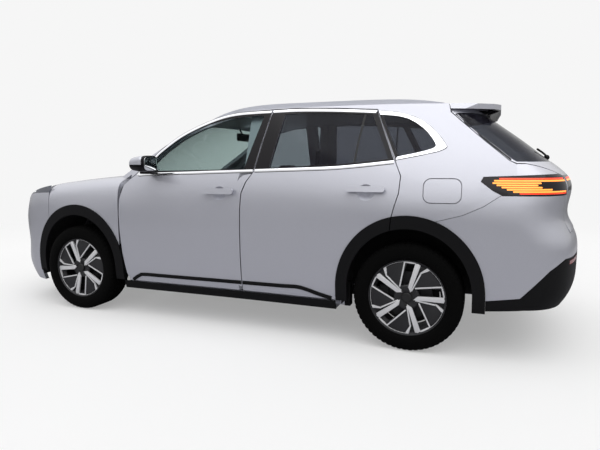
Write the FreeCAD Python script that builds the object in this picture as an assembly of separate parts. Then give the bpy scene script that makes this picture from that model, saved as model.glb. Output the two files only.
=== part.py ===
import FreeCAD, Part
import math
import os
from FreeCAD import Vector

os.makedirs("parts", exist_ok=True)

# The car stands on z = 0 with its nose along +X and its left side along +Y.
# The origin is on the ground in the middle of its length and width. Sizes are in millimetres.

# Driving sizes
LENGTH = 4740.0
WIDTH = 1905.0
HEIGHT = 1690.0
WHEELBASE = 2755.0
FRONT_OVERHANG = 905.0
AXLE_FRONT = LENGTH / 2 - FRONT_OVERHANG
AXLE_REAR = AXLE_FRONT - WHEELBASE

# Fits
SHUT_GAP = 6.0
TRIM_GAP = 0.3
FENDER_SEAT = 2.0
STRIP_OUTER, STRIP_INNER = 8.0, 2.5
SEAL_GAP = 8.0
GLASS_GAP = 0.3
SWING_ROOM = 7.0

# Wheels
TYRE_RADIUS = 358.8
TYRE_WIDTH = 235.0
TYRE_OUTER_Y = 930.0
RIM_RADIUS = 241.0
RIM_WALL = 18.0
RIM_LIP = 12.0
LIP_INSETS = (6.0, 14.0)
BORE_INSET = 34.0
SEAT_INSET = 24.0
BEAD_INSET = 26.0
WALL_RADIUS = 305.0
SHOULDER = 34.0
RIM_DISC_Y = 905.0
WHEEL_Y = TYRE_OUTER_Y - TYRE_WIDTH / 2
HUB_BORE = 32.0
ARCH_HALF_LENGTH = 402.0
ARCH_RISE = 418.0
ARCH_CENTRE_Z = 400.0
CLADDING_HALF_LENGTH = 480.0
CLADDING_RISE = 504.0
CLADDING_PROUD = 9.0

# Walls
SHELL_WALL = 45.0
FENDER_WALL = 30.0
BUMPER_WALL = 40.0
BONNET_WALL = 35.0
DOOR_FLANGE = 28.0
DOOR_DEPTH = 115.0
DOOR_INSET = 26.0
TAILGATE_WALL = 70.0
GLASS_WALL = 6.0
GLASS_SET_BACK = 4.0
FLOOR_WALL = 25.0

DOOR_INNER_Y = 815.0

# Heights
SILL_BOTTOM_Z = 235.0
DOOR_BOTTOM_Z = 300.0
BELT_Z = 1180.0

# Threaded hole for the front towing eye
EYE_MOUTH_X = 2286.0
EYE_Y = -430.0
EYE_Z = 520.0
EYE_RADIUS = 8.0
EYE_BOSS = 16.0
EYE_ROOM = 24.0
EYE_DEPTH = 90.0

# Hinge and steering axes
FRONT_DOOR_HINGE = (960.0, 915.0)
REAR_DOOR_HINGE = (-118.0, 925.0)

# Door handles: rear end, front end, bottom and top
FRONT_HANDLE = (-41, 214, 1019, 1061)
REAR_HANDLE = (-1145, -884, 1053, 1091)
HANDLE_OUT = 40.0
HANDLE_IN = 24.0
CUP_RADIUS = 52.0
CUP_DEPTH = 16.0

# Fuel flap: rear end, front end, bottom and top
FLAP = (-1611, -1386, 990, 1138)
FLAP_CORNER = 44.0
FLAP_WALL = 8.0
FLAP_GAP = 5.0

# Side frame and roof
PILLAR_B = [(795, SILL_BOTTOM_Z), (795, 1180), (645, 1610), (600, 1610), (745, 1180),
            (745, SILL_BOTTOM_Z)]
SILL_ENDS = (-880.0, 1030.0)
SILL_INNER_Y = 735.0
SILL_OUTER_Y = 795.0
SILL_TOP_Z = 400.0
WHEELHOUSE_Y = 560.0
WHEELHOUSE_WALL = 12.0
WHEELHOUSE_OUTER_Y = 870.0
WHEELHOUSE_INSET = 20.0
SILL_FLANGE_Y = 874.0
ROOF_WALL = 40.0
RING_WALL = 50.0
RING_STEP = 4.0
ROOF_INSET = 12.0
RING_INSET = 30.0

# Front intake
INTAKE_LOW = 300.0
INTAKE_HIGH = 470.0
INTAKE = [(-520, INTAKE_LOW), (520, INTAKE_LOW), (600, INTAKE_HIGH), (-600, INTAKE_HIGH)]
SLAT_COUNT = 5
SLAT_HEIGHT = 12.0
SLAT_SET_BACK = 10.0
SLAT_DEPTH = 32.0
RIB_Y = (-280.0, 0.0, 280.0)
RIB_HALF = 6.0
INTAKE_X = 1900.0
INTAKE_RIM = 14.0

# Spoiler and lamp bar
SPOILER_WALL = 34.0
LAMP_BAR_HALF = 645.0
LAMP_BAR_WALL = 28.0

# Hub and spokes
HUB_FACE_Y = 862.0
HUB_RADIUS = 62.0
DISC_THICK = 16.0
SPOKES = 5
SLOT_TURN = 4.0

# Running gear, floor and bulkhead
ARM_Z = (205.0, 232.0)
ENGINE_Z = (420.0, 880.0)
FLOOR_LOW_Z = 250.0
LUGGAGE_Z = 560.0
RAIL_Z = (430.0, 540.0)
RAIL_Y = (370.0, 440.0)
FIREWALL_X = (1000.0, 1030.0)
INNER_WING_Y = (440.0, 458.0)
INNER_WING_BOX = (FIREWALL_X[0], 1900.0, *INNER_WING_Y, 430.0, 960.0)
FRONT_RAIL_BOX = (FIREWALL_X[0], 2150.0, *RAIL_Y, *RAIL_Z)
BUMPER_BEAM_BOX = (2130.0, 2180.0, -700.0, 700.0, 430.0, 560.0)
RADIATOR_BOX = (2020.0, 2060.0, -560.0, 560.0, 440.0, 850.0)
ENGINE_BOX = (1150.0, 1600.0, -300.0, 300.0, *ENGINE_Z)
BULKHEAD_TOP_Z = 1040.0
FLOOR_REAR_X = -880.0
STEP_X = -850.0
TUNNEL_BOX = (-860.0, 900.0, -105.0, 105.0, FLOOR_LOW_Z, 400.0)
TUNNEL_HOLLOW_BOX = (-860.0, 900.0, -85.0, 85.0, 0.0, 375.0)
TAIL_PANEL_BOX = (-2215.0, -2190.0, -600.0, 600.0, 400.0, 770.0)
LEDGE_X = (-2110.0, -1790.0)
LEDGE_Y = 760.0
LOAD_PAD_BOX = (-2150.0, -1200.0, -500.0, 500.0, LUGGAGE_Z, 590.0)

# Running gear, with x measured from the axle
KNUCKLE_BOX = (-45.0, 45.0, 712.0, 752.0, ARM_Z[1] + TRIM_GAP, 480.0)
FRONT_CROSS_BOX = (-110.0, 90.0, -360.0, 360.0, 200.0, 262.0)
ARM_OUTLINE = [(-300, 340), (60, 340), (32, 745), (-32, 745), (-60, 520), (-240, 400), (-300, 400)]
FRONT_POST_BOX = (-60.0, 60.0, 330.0, 380.0, 240.0, RAIL_Z[0] - TRIM_GAP)
FRONT_REAR_POST_BOX = (-330.0, -270.0, 330.0, 400.0, 200.0, RAIL_Z[0] - TRIM_GAP)
ENGINE_PAD_BOX = (-60.0, 60.0, -110.0, 110.0, 262.0, ENGINE_Z[0])
REAR_BEAM_BOX = (-70.0, 70.0, -520.0, 520.0, 250.0, 330.0)
CARRIER_BOX = (-50.0, 50.0, 690.0, 745.0, 240.0, 470.0)
REAR_MOUNT_BOX = (-60.0, 60.0, 380.0, 460.0, 300.0, LUGGAGE_Z - TRIM_GAP)
REAR_LINK_BOXES = [(-30.0, 30.0, 500.0, 700.0, 262.0, 300.0),
                   (40.0, FLOOR_REAR_X - AXLE_REAR - TRIM_GAP, 470.0, 520.0, 262.0, 322.0)]

# Cabin, with the seats measured from the hip point
WHEEL_RING = 180.0
COLUMN_TILT = 62.0
STEERING_CENTRE = (500.0, 370.0, 930.0)
SEAT_Y = 370.0
FRONT_SEAT_X = 60.0
REAR_SEAT_X = -790.0
FRONT_SEAT_WIDTH = 500.0
BENCH_WIDTH = 1090.0
HEAD_REST_HALF = 125.0
SEAT_SIDE = [(-170, FLOOR_LOW_Z + FLOOR_WALL + TRIM_GAP), (330, FLOOR_LOW_Z + FLOOR_WALL + TRIM_GAP),
             (350, 520), (330, 600), (0, 570), (-60, 610), (-190, 1050), (-260, 1060), (-200, 620),
             (-190, 500)]
BENCH_FOOT_X = STEP_X + TRIM_GAP - REAR_SEAT_X
BENCH_SEAT_Z = LUGGAGE_Z + FLOOR_WALL + TRIM_GAP
BENCH_SIDE = [(BENCH_FOOT_X, FLOOR_LOW_Z + FLOOR_WALL + TRIM_GAP),
              (330, FLOOR_LOW_Z + FLOOR_WALL + TRIM_GAP), (350, 520), (330, 600), (0, 570), (-60, 610),
              (-190, 1050), (-260, 1060), (-200, 620), (-190, BENCH_SEAT_Z),
              (BENCH_FOOT_X, BENCH_SEAT_Z)]
HEAD_REST_SIDE = [(-215, 1040), (-245, 1220), (-310, 1225), (-285, 1040)]
DASH_HALF = 700.0
DASH_SIDE = [(FIREWALL_X[0] - TRIM_GAP, 560), (FIREWALL_X[0] - TRIM_GAP, 1060), (900, 1075),
             (760, 1050), (700, 960), (720, 820), (820, 700), (860, 560)]
GRIP_RADIUS = 15.0
PAD_RADIUS = 48.0
PAD_HEIGHT = 40.0
BAR_TURNS = (-180.0, -90.0, 0.0)
BAR_WIDTH = 30.0
BAR_THICK = 12.0
COLUMN_RADIUS = 22.0

# Roof rails and mirrors
RAIL_TRACK_Y = 622.0
RAIL_WIDTH = 30.0
RAIL_ENDS = (-1480.0, 330.0)
MIRROR_X = (575.0, 750.0)
MIRROR_Y = (965.0, 1150.0)
MIRROR_Z = (1176.0, 1312.0)

FAR = 3000.0
REACH = 1400.0


def curve(points):
    """A smooth curve through (t, value) points, straight past its ends: a natural cubic spline."""
    ts = [p[0] for p in points]
    vs = [p[1] for p in points]
    count = len(points)
    spans = [ts[i + 1] - ts[i] for i in range(count - 1)]
    slopes = [(vs[i + 1] - vs[i]) / spans[i] for i in range(count - 1)]
    share = [0.0] * count
    load = [0.0] * count
    for i in range(1, count - 1):
        weight = 2 * (ts[i + 1] - ts[i - 1]) - spans[i - 1] * share[i - 1]
        share[i] = spans[i] / weight
        load[i] = (3 * (slopes[i] - slopes[i - 1]) - spans[i - 1] * load[i - 1]) / weight
    bend = [0.0] * count
    for i in range(count - 2, 0, -1):
        bend[i] = load[i] - share[i] * bend[i + 1]

    def piece(i, t):
        s = t - ts[i]
        turn = (bend[i + 1] - bend[i]) / (3 * spans[i])
        start = slopes[i] - spans[i] * (bend[i + 1] + 2 * bend[i]) / 3
        return vs[i] + start * s + bend[i] * s * s + turn * s ** 3, start + s * (2 * bend[i] + 3 * turn * s)

    def value(t):
        if t < ts[0]:
            return vs[0] + piece(0, ts[0])[1] * (t - ts[0])
        if t > ts[-1]:
            return vs[-1] + piece(count - 2, ts[-1])[1] * (t - ts[-1])
        i = max(k for k in range(count - 1) if ts[k] <= t)
        return piece(i, t)[0]

    return value


def smooth_max(a, b, blend):
    """The larger of two distances, rounded over where they are within blend of each other."""
    near = max(blend - abs(a - b), 0.0) / blend
    return max(a, b) + near * near * blend / 4


# Outer form: half width along the car, and how far the side draws in over its height
half_width = curve([(-2400, WIDTH / 2 - 68.5), (-2000, WIDTH / 2 - 38.5), (-1290, WIDTH / 2 - 14.5),
                    (0, WIDTH / 2 - 21.5), (1465, WIDTH / 2 - 15.5), (1800, WIDTH / 2 - 38.5),
                    (2100, WIDTH / 2 - 80.5), (2400, WIDTH / 2 - 140.5)])
side_draw = curve([(180, 66), (300, 27), (420, 13), (600, 5), (800, 0), (950, 4), (1100, 17),
                   (1240, 48), (1500, 150)])
cabin_width = curve([(-2100, 830), (-1300, 886), (-600, 903), (200, 907), (1250, 868)])
CABIN_LEAN = 0.44
CABIN_CURVE = 0.00012
SHOULDER_BLEND = 70.0
HAUNCH = 10.0

# Outer form: heights of the bonnet and of the cabin along the middle, nose and tail over height
bonnet_line = curve([(1000, 1162), (1247, 1150), (1694, 1112), (1950, 1078), (2130, 1032),
                     (2250, 965), (2340, 880), (2420, 780)])
cabin_line = curve([(-1850, 1632), (-1190, 1663), (-390, 1674), (160, 1650), (400, 1592),
                    (628, 1490), (940, 1312), (1250, 1120), (1400, 1024)])
nose_line = curve([(200, -60), (300, -20), (400, 0), (520, -14), (700, -4), (800, -8),
                   (900, -34), (1000, -72), (1100, -112)])
tail_line = curve([(150, 290), (300, 100), (440, 14), (600, 0), (740, 8), (900, 68), (1060, 50),
                   (1150, 78), (1238, 175), (1394, 365), (1503, 510), (1700, 770)])
NOSE_SWEEP = 0.00020
TAIL_SWEEP = 0.00022
SCREEN_SWEEP = 0.00020
BONNET_CROWN = 12.0
BONNET_CROWN_Y = 700.0
ROOF_CROWN = 20.0
ROOF_CROWN_Y = 640.0
BONNET_EDGE_BLEND = 110.0
NOSE_BLEND = 250.0
TAIL_BLEND = 210.0


def side_half_width(x, z):
    """Half width of the body at a station and height: lower body and leaning cabin side."""
    haunch = HAUNCH * math.exp(-((x - AXLE_REAR) / 480) ** 2 - ((z - 960) / 130) ** 2)
    lower = half_width(x) - side_draw(z) + haunch
    above = z - BELT_Z
    cabin = cabin_width(x) - CABIN_LEAN * above - CABIN_CURVE * above * abs(above)
    return -smooth_max(-lower, -cabin, SHOULDER_BLEND)


def bonnet_height(x, y):
    """Height of the bonnet and of the fender crests beside it."""
    return bonnet_line(x + NOSE_SWEEP * y * y) - BONNET_CROWN * (y / BONNET_CROWN_Y) ** 2


def cabin_height(x, y):
    """Height of the windscreen and roof."""
    return cabin_line(x + SCREEN_SWEEP * y * y) - ROOF_CROWN * (y / ROOF_CROWN_Y) ** 2


def crest_field(x, y, z):
    """Over zero outside the fender: its side and its top, rounded over at the crest."""
    return smooth_max(abs(y) - side_half_width(x, z), z - bonnet_height(x, y), BONNET_EDGE_BLEND)


def nose_field(x, y, z):
    """Over zero outside the nose and the front corners."""
    nose = x - (LENGTH / 2 + nose_line(z) - NOSE_SWEEP * y * y)
    return smooth_max(abs(y) - side_half_width(x, z), nose, NOSE_BLEND)


def tail_field(x, y, z):
    """Over zero outside the tail and the rear corners."""
    tail = (tail_line(z) - LENGTH / 2 + TAIL_SWEEP * y * y) - x
    return smooth_max(abs(y) - side_half_width(x, z), tail, TAIL_BLEND)


def cast(field, origin, target, reach=REACH):
    """Where a line from inside the car towards target meets a form, and the line's direction."""
    way = (target - origin).normalize()
    low, high = 0.0, reach
    for _ in range(22):
        middle = (low + high) / 2
        p = origin + way * middle
        if field(p.x, p.y, p.z) < 0:
            low = middle
        else:
            high = middle
    return origin + way * low, way


def spread(start, end, count):
    """Evenly spaced values with both ends."""
    return [start + (end - start) * i / (count - 1) for i in range(count)]


# Grids of rays that the nose and the tail are cast along, from upright lines in the middle
NOSE_AXIS_X = 1300.0
TAIL_AXIS_X = -1400.0
GATE_AXIS_X = -1200.0
crest_targets = [(940, 200), (940, 330), (940, 470), (940, 610), (940, 750), (938, 870),
                 (932, 950), (918, 1010), (895, 1055), (860, 1085), (815, 1103), (755, 1113),
                 (690, 1118)]
nose_angles = spread(-1.16, 1.16, 17)
nose_heights = [205, 260, 320, 380, 440, 510, 600, 700, 790, 860, 920, 970, 1020, 1065]
tail_angles = spread(math.radians(92), math.radians(268), 25)
tail_heights = [300, 350, 400, 470, 550, 640, 740, 820, 890, 960, 1030, 1100, 1180]
bar_angles = spread(math.radians(146), math.radians(214), 9)
pane_angles = spread(math.radians(120), math.radians(240), 11)
gate_angles = spread(math.radians(114), math.radians(246), 17)
gate_heights = [780, 850, 920, 990, 1060, 1120, 1180, 1240, 1310, 1400, 1500, 1590, 1670]


def surface(points):
    """A smooth surface through a grid of points."""
    made = Part.BSplineSurface()
    made.interpolate(points)
    return made


def slab(outer, inner):
    """The closed solid between two grids of points, with straight sides all round."""
    a = surface(outer)
    b = surface(inner)
    a0, a1, a2, a3 = a.bounds()
    b0, b1, b2, b3 = b.bounds()
    edges = [(a.uIso(a0), b.uIso(b0)), (a.uIso(a1), b.uIso(b1)),
             (a.vIso(a2), b.vIso(b2)), (a.vIso(a3), b.vIso(b3))]
    faces = [a.toShape(), b.toShape()]
    faces += [Part.makeRuledSurface(p.toShape(), q.toShape()) for p, q in edges]
    shell = Part.Compound(faces)
    shell.sewShape()
    solid = Part.Solid(shell.Shells[0])
    if solid.Volume < 0:
        solid.reverse()
    return solid


def side_slab(x0, x1, z0, z1, near, far, counts=(8, 14), inner=(5, 8)):
    """The layer of the left side of the body between two depths."""

    def grid(depth, nx, nz):
        return [[Vector(x, side_half_width(x, z) - depth, z) for z in spread(z0, z1, nz)]
                for x in spread(x0, x1, nx)]

    return slab(grid(near, *counts), grid(far, *inner))


def top_slab(height, x0, x1, half, near, far, counts=(10, 7)):
    """The layer of the bonnet or of the roof between two depths."""
    nx, ny = counts

    def grid(depth):
        return [[Vector(x, y, height(x, y) - depth) for y in spread(-half, half, ny)]
                for x in spread(x0, x1, nx)]

    return slab(grid(near), grid(far))


def thinned(row):
    """Every second item of a row, with both ends."""
    return row[:-1:2] + row[-1:]


def cast_slab(field, rays, near, far, coarse=False):
    """The layer of a form between two depths, along a grid of rays; its inner face can be coarse."""
    hits = [[cast(field, origin, target) for origin, target in row] for row in rays]
    inner = [thinned(row) for row in thinned(hits)] if coarse else hits
    return slab([[point - way * near for point, way in row] for row in hits],
                [[point - way * far for point, way in row] for row in inner])


def plan_rays(axis_x, heights, angles):
    """Level rays that fan out from an upright line, at each height."""
    return [[(Vector(axis_x, 0, z), Vector(axis_x + math.cos(a), math.sin(a), z))
             for a in angles] for z in heights]


def outline(points, lift):
    """A closed straight-sided face from points in a plane, placed by lift."""
    corners = [lift(a, b) for a, b in points]
    return Part.Face(Part.makePolygon(corners + corners[:1]))


def side_prism(points, near=-FAR, far=FAR):
    """What lies inside an outline seen from the side, from y = near to y = far."""
    face = outline(points, lambda x, z: Vector(x, near, z))
    return face.extrude(Vector(0, far - near, 0))


def plan_prism(points, low=-FAR, high=FAR):
    """What lies inside an outline seen from above, from z = low to z = high."""
    face = outline(points, lambda x, y: Vector(x, y, low))
    return face.extrude(Vector(0, 0, high - low))


def rear_prism(points, near, far):
    """What lies inside an outline seen along the car, from x = near to x = far."""
    face = outline(points, lambda y, z: Vector(near, y, z))
    return face.extrude(Vector(far - near, 0, 0))


def grown(face_points, by, lift, way):
    """The prism over an outline made larger all round by a gap."""
    wire = outline(face_points, lift).OuterWire.makeOffset2D(by)
    return Part.Face(wire).extrude(way)


def side_grown(points, by):
    """The side view prism over an outline made larger by a gap."""
    return grown(points, by, lambda x, z: Vector(x, -FAR, z), Vector(0, 2 * FAR, 0))


def plan_grown(points, by):
    """The prism in plan over an outline made larger by a gap."""
    return grown(points, by, lambda x, y: Vector(x, y, -FAR), Vector(0, 0, 2 * FAR))


def box(x0, x1, y0, y1, z0, z1):
    """A box between two corners."""
    return Part.makeBox(x1 - x0, y1 - y0, z1 - z0, Vector(x0, y0, z0))


def box_at(x, sizes):
    """A box whose ends along the car are measured from x."""
    return box(x + sizes[0], x + sizes[1], *sizes[2:])


def mirrored(shape):
    """The same shape on the other side of the car."""
    return shape.mirror(Vector(0, 0, 0), Vector(0, 1, 0))


def arch_prism(x, half_length, rise):
    """A wheel arch seen from the side: half an ellipse over straight legs to below the car."""
    centre = Vector(x, -FAR, ARCH_CENTRE_Z)
    upright = Vector(0, 0, rise)
    along = Vector(half_length, 0, 0)
    if rise > half_length:
        ring = Part.Ellipse(centre + upright, centre + along, centre)
        start, end = 1.5 * math.pi, 2.5 * math.pi
    else:
        ring = Part.Ellipse(centre + along, centre + upright, centre)
        start, end = 0.0, math.pi
    arc = ring.toShape(start, end)
    first, last = (v.Point for v in arc.Vertexes)
    down = Vector(0, 0, -ARCH_CENTRE_Z)
    legs = [Part.makeLine(last, last + down), Part.makeLine(last + down, first + down),
            Part.makeLine(first + down, first)]
    return Part.Face(Part.Wire([arc] + legs)).extrude(Vector(0, 2 * FAR, 0))


def cylinder_y(x, z, radius, y0, y1):
    """A round bar across the car."""
    return Part.makeCylinder(radius, y1 - y0, Vector(x, y0, z), Vector(0, 1, 0))


def cylinder_x(x0, x1, y, z, radius):
    """A round bar along the car."""
    return Part.makeCylinder(radius, x1 - x0, Vector(x0, y, z), Vector(1, 0, 0))


def main_solid(shape):
    """The largest solid of a cut shape, without the slivers beside it."""
    return max(shape.Solids, key=lambda solid: solid.Volume)


def revolve_y(points, x, z):
    """A ring turned about a wheel axis from (radius, y) points."""
    corners = [Vector(x + r, y, z) for r, y in points]
    face = Part.Face(Part.makePolygon(corners + corners[:1]))
    return face.revolve(Vector(x, 0, z), Vector(0, 1, 0), 360)


nodes = {}


def save(name, shape):
    """Keeps a piece under its name."""
    nodes[name] = shape


# Shut lines seen from the side, as (x, z)
FENDER_LINE = [(930, 300), (956, 362), (987, 520), (1000, 677), (1005, 835), (1000, 960),
               (970, 1069), (900, 1131)]
WINDOW_FRONT = [(866, 1154), (722, 1300), (659, 1361), (495, 1480), (265, 1581), (57, 1630),
                (-247, 1641)]
PILLAR_LINE = [(-247, 1641), (-179, 1186), (-124, 1109), (-91, 1026), (-82, 913), (-80, 729),
               (-79, 556), (-82, 428), (-87, 300)]
WINDOW_REAR = [(-467, 1643), (-758, 1629), (-1040, 1608)]
QUARTER_LINE = [(-1040, 1608), (-1193, 1249), (-1234, 1156), (-1227, 1045), (-1198, 945),
                (-1184, 888), (-1175, 800)]
BUMPER_LINE = [(-1470, 872), (-1499, 879), (-1624, 914), (-1744, 971), (-1839, 1037)]
TAILGATE_LINE = [(-1509, 1700), (-1512, 1650), (-1530, 1575), (-1595, 1515), (-1732, 1388),
                 (-1885, 1255), (-1925, 1236)]
TAIL_LAMP = [(-1723, 1123), (-1738, 1152), (-2160, 1168), (-2500, 1168), (-2500, 1041),
             (-1844, 1041), (-1795, 1066)]
TAILGATE_HALF = [(668, 1168), (655, 1041), (622, 800)]
LAMP_BAR_Z = (1062, 1158)

# Glass outlines seen from the side, as (x, z)
FRONT_GLASS = [(650, 1188), (735, 1258), (605, 1382), (435, 1486), (268, 1549), (95, 1587),
               (-160, 1603), (-188, 1594), (-100, 1202)]
REAR_GLASS = [(-300, 1210), (-357, 1601), (-467, 1606), (-758, 1595), (-1012, 1574),
              (-1148, 1268), (-900, 1240), (-692, 1228)]
QUARTER_GLASS = [(-1078, 1568), (-1160, 1560), (-1260, 1535), (-1358, 1469), (-1419, 1400),
                 (-1450, 1352), (-1425, 1332), (-1320, 1303), (-1212, 1282)]

# Outlines in plan, left half, as (x, y)
WINDSCREEN_HALF = [(1240, 0), (1232, 200), (1208, 400), (1168, 600), (1128, 750), (780, 715),
                   (480, 655), (330, 600), (368, 400), (392, 200), (400, 0)]
BONNET_HALF = [(1256, 0), (1248, 200), (1224, 400), (1184, 600), (1150, 730), (1142, 775),
               (1500, 778), (1755, 762), (1950, 715), (2100, 625), (2220, 475), (2290, 250),
               (2312, 0)]
BUMPER_FRONT_X = 1790.0
FENDER_TOP_Z = 1128.0

# Headlamp seen from the front, as (y, z)
HEADLAMP = [(330, 900), (560, 906), (700, 925), (800, 962), (905, 1002), (905, 1060), (330, 1060)]


def both_sides(half):
    """A closed outline in plan from its left half."""
    return half + [(a, -b) for a, b in reversed(half) if b > 0]


windscreen_outline = both_sides(WINDSCREEN_HALF)
bonnet_outline = both_sides(BONNET_HALF)
spoiler_outline = both_sides([(-1500, 0), (-1500, 700), (-1700, 640), (-1790, 600), (-1835, 500),
                              (-1848, 0)])

# Outlines of the doors
front_door_outline = FENDER_LINE + WINDOW_FRONT + PILLAR_LINE[1:]
rear_start = [(x - SHUT_GAP, z) for x, z in reversed(PILLAR_LINE)]
rear_arch = [(AXLE_REAR + ARCH_HALF_LENGTH * math.sin(math.pi / 2 * i / 16),
              ARCH_CENTRE_Z + ARCH_RISE * math.cos(math.pi / 2 * i / 16)) for i in range(5, 17)]
rear_door_outline = (rear_start + WINDOW_REAR + QUARTER_LINE + rear_arch
                     + [(AXLE_REAR + ARCH_HALF_LENGTH, DOOR_BOTTOM_Z)])

# Regions of the panels seen from the side
fender_edge = [(x + SHUT_GAP, z) for x, z in FENDER_LINE]
fender_region = fender_edge[:-1] + [(918, FENDER_TOP_Z - 3), (1000, FENDER_TOP_Z),
                                    (1062, 1170), (1062, 1300),
                                    (BUMPER_FRONT_X - SHUT_GAP / 2, 1300),
                                    (BUMPER_FRONT_X - SHUT_GAP / 2, 290), (936, 290)]
fender_hole = fender_edge[:-1] + [(918, FENDER_TOP_Z), (997, FENDER_TOP_Z + 3), (1056, 1173),
                                  (1056, 1400), (1400, 1400), (1400, 100), (936, 100)]
VALANCE_TOP = [(-1700, 380), (-1772, 382), (-1964, 413), (-2122, 587), (-2213, 655), (-2600, 657)]
bumper_region = (BUMPER_LINE + [(-2600, 1037)] + [(x, z + 3) for x, z in reversed(VALANCE_TOP)]
                 + [(-1470, 380)])
valance_region = VALANCE_TOP + [(-2600, 352), (-1990, 340), (-1785, 318), (-1700, 306)]
tailgate_side = TAILGATE_LINE + [(-1925, 1220), (-1750, 1220), (-1750, 796), (-2600, 796),
                                 (-2600, 1700)]
tailgate_rear = ([(1000, 1700), (1000, 1236), (790, 1236)] + TAILGATE_HALF
                 + [(-y, z) for y, z in reversed(TAILGATE_HALF)]
                 + [(-790, 1236), (-1000, 1236), (-1000, 1700)])
tailgate_glass_side = [(-1560, 1566), (-1612, 1513), (-1750, 1386), (-1903, 1257), (-1925, 1244),
                       (-2600, 1244), (-2600, 1566)]


def region(points, rear_points, by):
    """Where an outline seen from the side and one seen from behind overlap, grown by a gap."""
    side = side_grown(points, by)
    rear = grown(rear_points, by, lambda y, z: Vector(-FAR, y, z), Vector(FAR, 0, 0))
    return side.common(rear)


arch_open = [arch_prism(x, ARCH_HALF_LENGTH, ARCH_RISE) for x in (AXLE_FRONT, AXLE_REAR)]
arch_clad = [arch_prism(x, CLADDING_HALF_LENGTH, CLADDING_RISE) for x in (AXLE_FRONT, AXLE_REAR)]
arch_clad_room = [arch_prism(x, CLADDING_HALF_LENGTH + 1, CLADDING_RISE + 1)
                  for x in (AXLE_FRONT, AXLE_REAR)]
above_cabin = top_slab(cabin_height, -1900, 1300, 1100, -900, 0, (12, 9))
above_bonnet = top_slab(bonnet_height, 1000, 2420, 1000, -500, 0)
bonnet_room = plan_grown(bonnet_outline, SHUT_GAP).common(box(0, FAR, -FAR, FAR, 860, FAR))
aperture = side_grown(front_door_outline, SHUT_GAP).fuse(side_grown(rear_door_outline, SHUT_GAP))
aperture = aperture.common(box(-FAR, FAR, 0, FAR, 0, FAR))
door_skin_room = side_slab(-1300, 1080, 270, 1680, -60, DOOR_FLANGE + SEAL_GAP, (7, 10), (7, 10))
door_deep_room = box(-FAR, FAR, DOOR_INNER_Y - SEAL_GAP, FAR, 0, BELT_Z + SEAL_GAP)
door_room = aperture.common(door_skin_room.fuse(door_deep_room))
tailgate_room = region(tailgate_side, tailgate_rear, SHUT_GAP)
tail_lamp_room = side_grown(TAIL_LAMP, 1.0).cut(box(-FAR, FAR, -640, 640, 0, FAR))
headlamp_prism = rear_prism(HEADLAMP, 1700, FAR)
headlamp_room = grown(HEADLAMP, TRIM_GAP, lambda y, z: Vector(1700, y, z), Vector(FAR, 0, 0))


def door(points, glass_points, x0, x1):
    """A left door: flanged outer skin with the window frame, and the deep box below the belt."""
    bottom = DOOR_BOTTOM_Z - 20
    flange = side_slab(x0, x1, bottom, 1665, 0, DOOR_FLANGE).common(side_prism(points))
    flange = flange.cut(side_prism(glass_points))
    deep = side_slab(x0, x1, bottom, BELT_Z + 2, DOOR_FLANGE - 8, DOOR_DEPTH + 80, (5, 6))
    deep = deep.common(box(-FAR, FAR, DOOR_INNER_Y, FAR, 0, FAR))
    return flange.fuse(deep.common(side_grown(points, -DOOR_INSET)))


def handle(x0, x1, z0, z1):
    """A door handle that follows the door, held at both ends: the bar and its two posts."""
    face = outline([(x0, z0), (x1, z0), (x1, z1), (x0, z1)], lambda x, z: Vector(x, 0, z))
    tool = face.extrude(Vector(0, FAR, 0))
    across = [e for e in tool.Edges if abs(e.Length - FAR) < 1]
    tool = tool.makeFillet((z1 - z0) / 2 - 1, across)
    bar = side_slab(x0 - 5, x1 + 5, z0 - 5, z1 + 5, -HANDLE_OUT, -HANDLE_IN, (4, 4)).common(tool)
    posts = side_slab(x0 - 5, x1 + 5, z0 - 5, z1 + 5, -HANDLE_IN - 2, 10, (4, 4))
    fore = posts.common(box(x1 - 60, x1 - 16, 0, FAR, z0 + 8, z1 - 8))
    aft = posts.common(box(x0 + 16, x0 + 60, 0, FAR, z0 + 8, z1 - 8))
    return bar.fuse([fore, aft])


def cup(x, z, radius, depth, y):
    """The round hollow behind a handle, cut into the door as a shallow bowl."""
    ball = (radius * radius + depth * depth) / (2 * depth)
    return Part.makeSphere(ball, Vector(x, y - depth + ball, z))


def swing_tool(hinge, edge_points):
    """The upright round space that a door's front edge sweeps about its hinge."""
    hx, hy = hinge
    reach = max(math.hypot(x - hx, side_half_width(x, z) - depth - hy)
                for x, z in edge_points for depth in (0, DOOR_FLANGE) if x > hx)
    return Part.makeCylinder(reach + SWING_ROOM, FAR, Vector(hx, hy, 0))


front_swing = swing_tool(FRONT_DOOR_HINGE, FENDER_LINE)
rear_swing = swing_tool(REAR_DOOR_HINGE, [(x - SHUT_GAP, z) for x, z in PILLAR_LINE if z < 1200])


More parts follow.
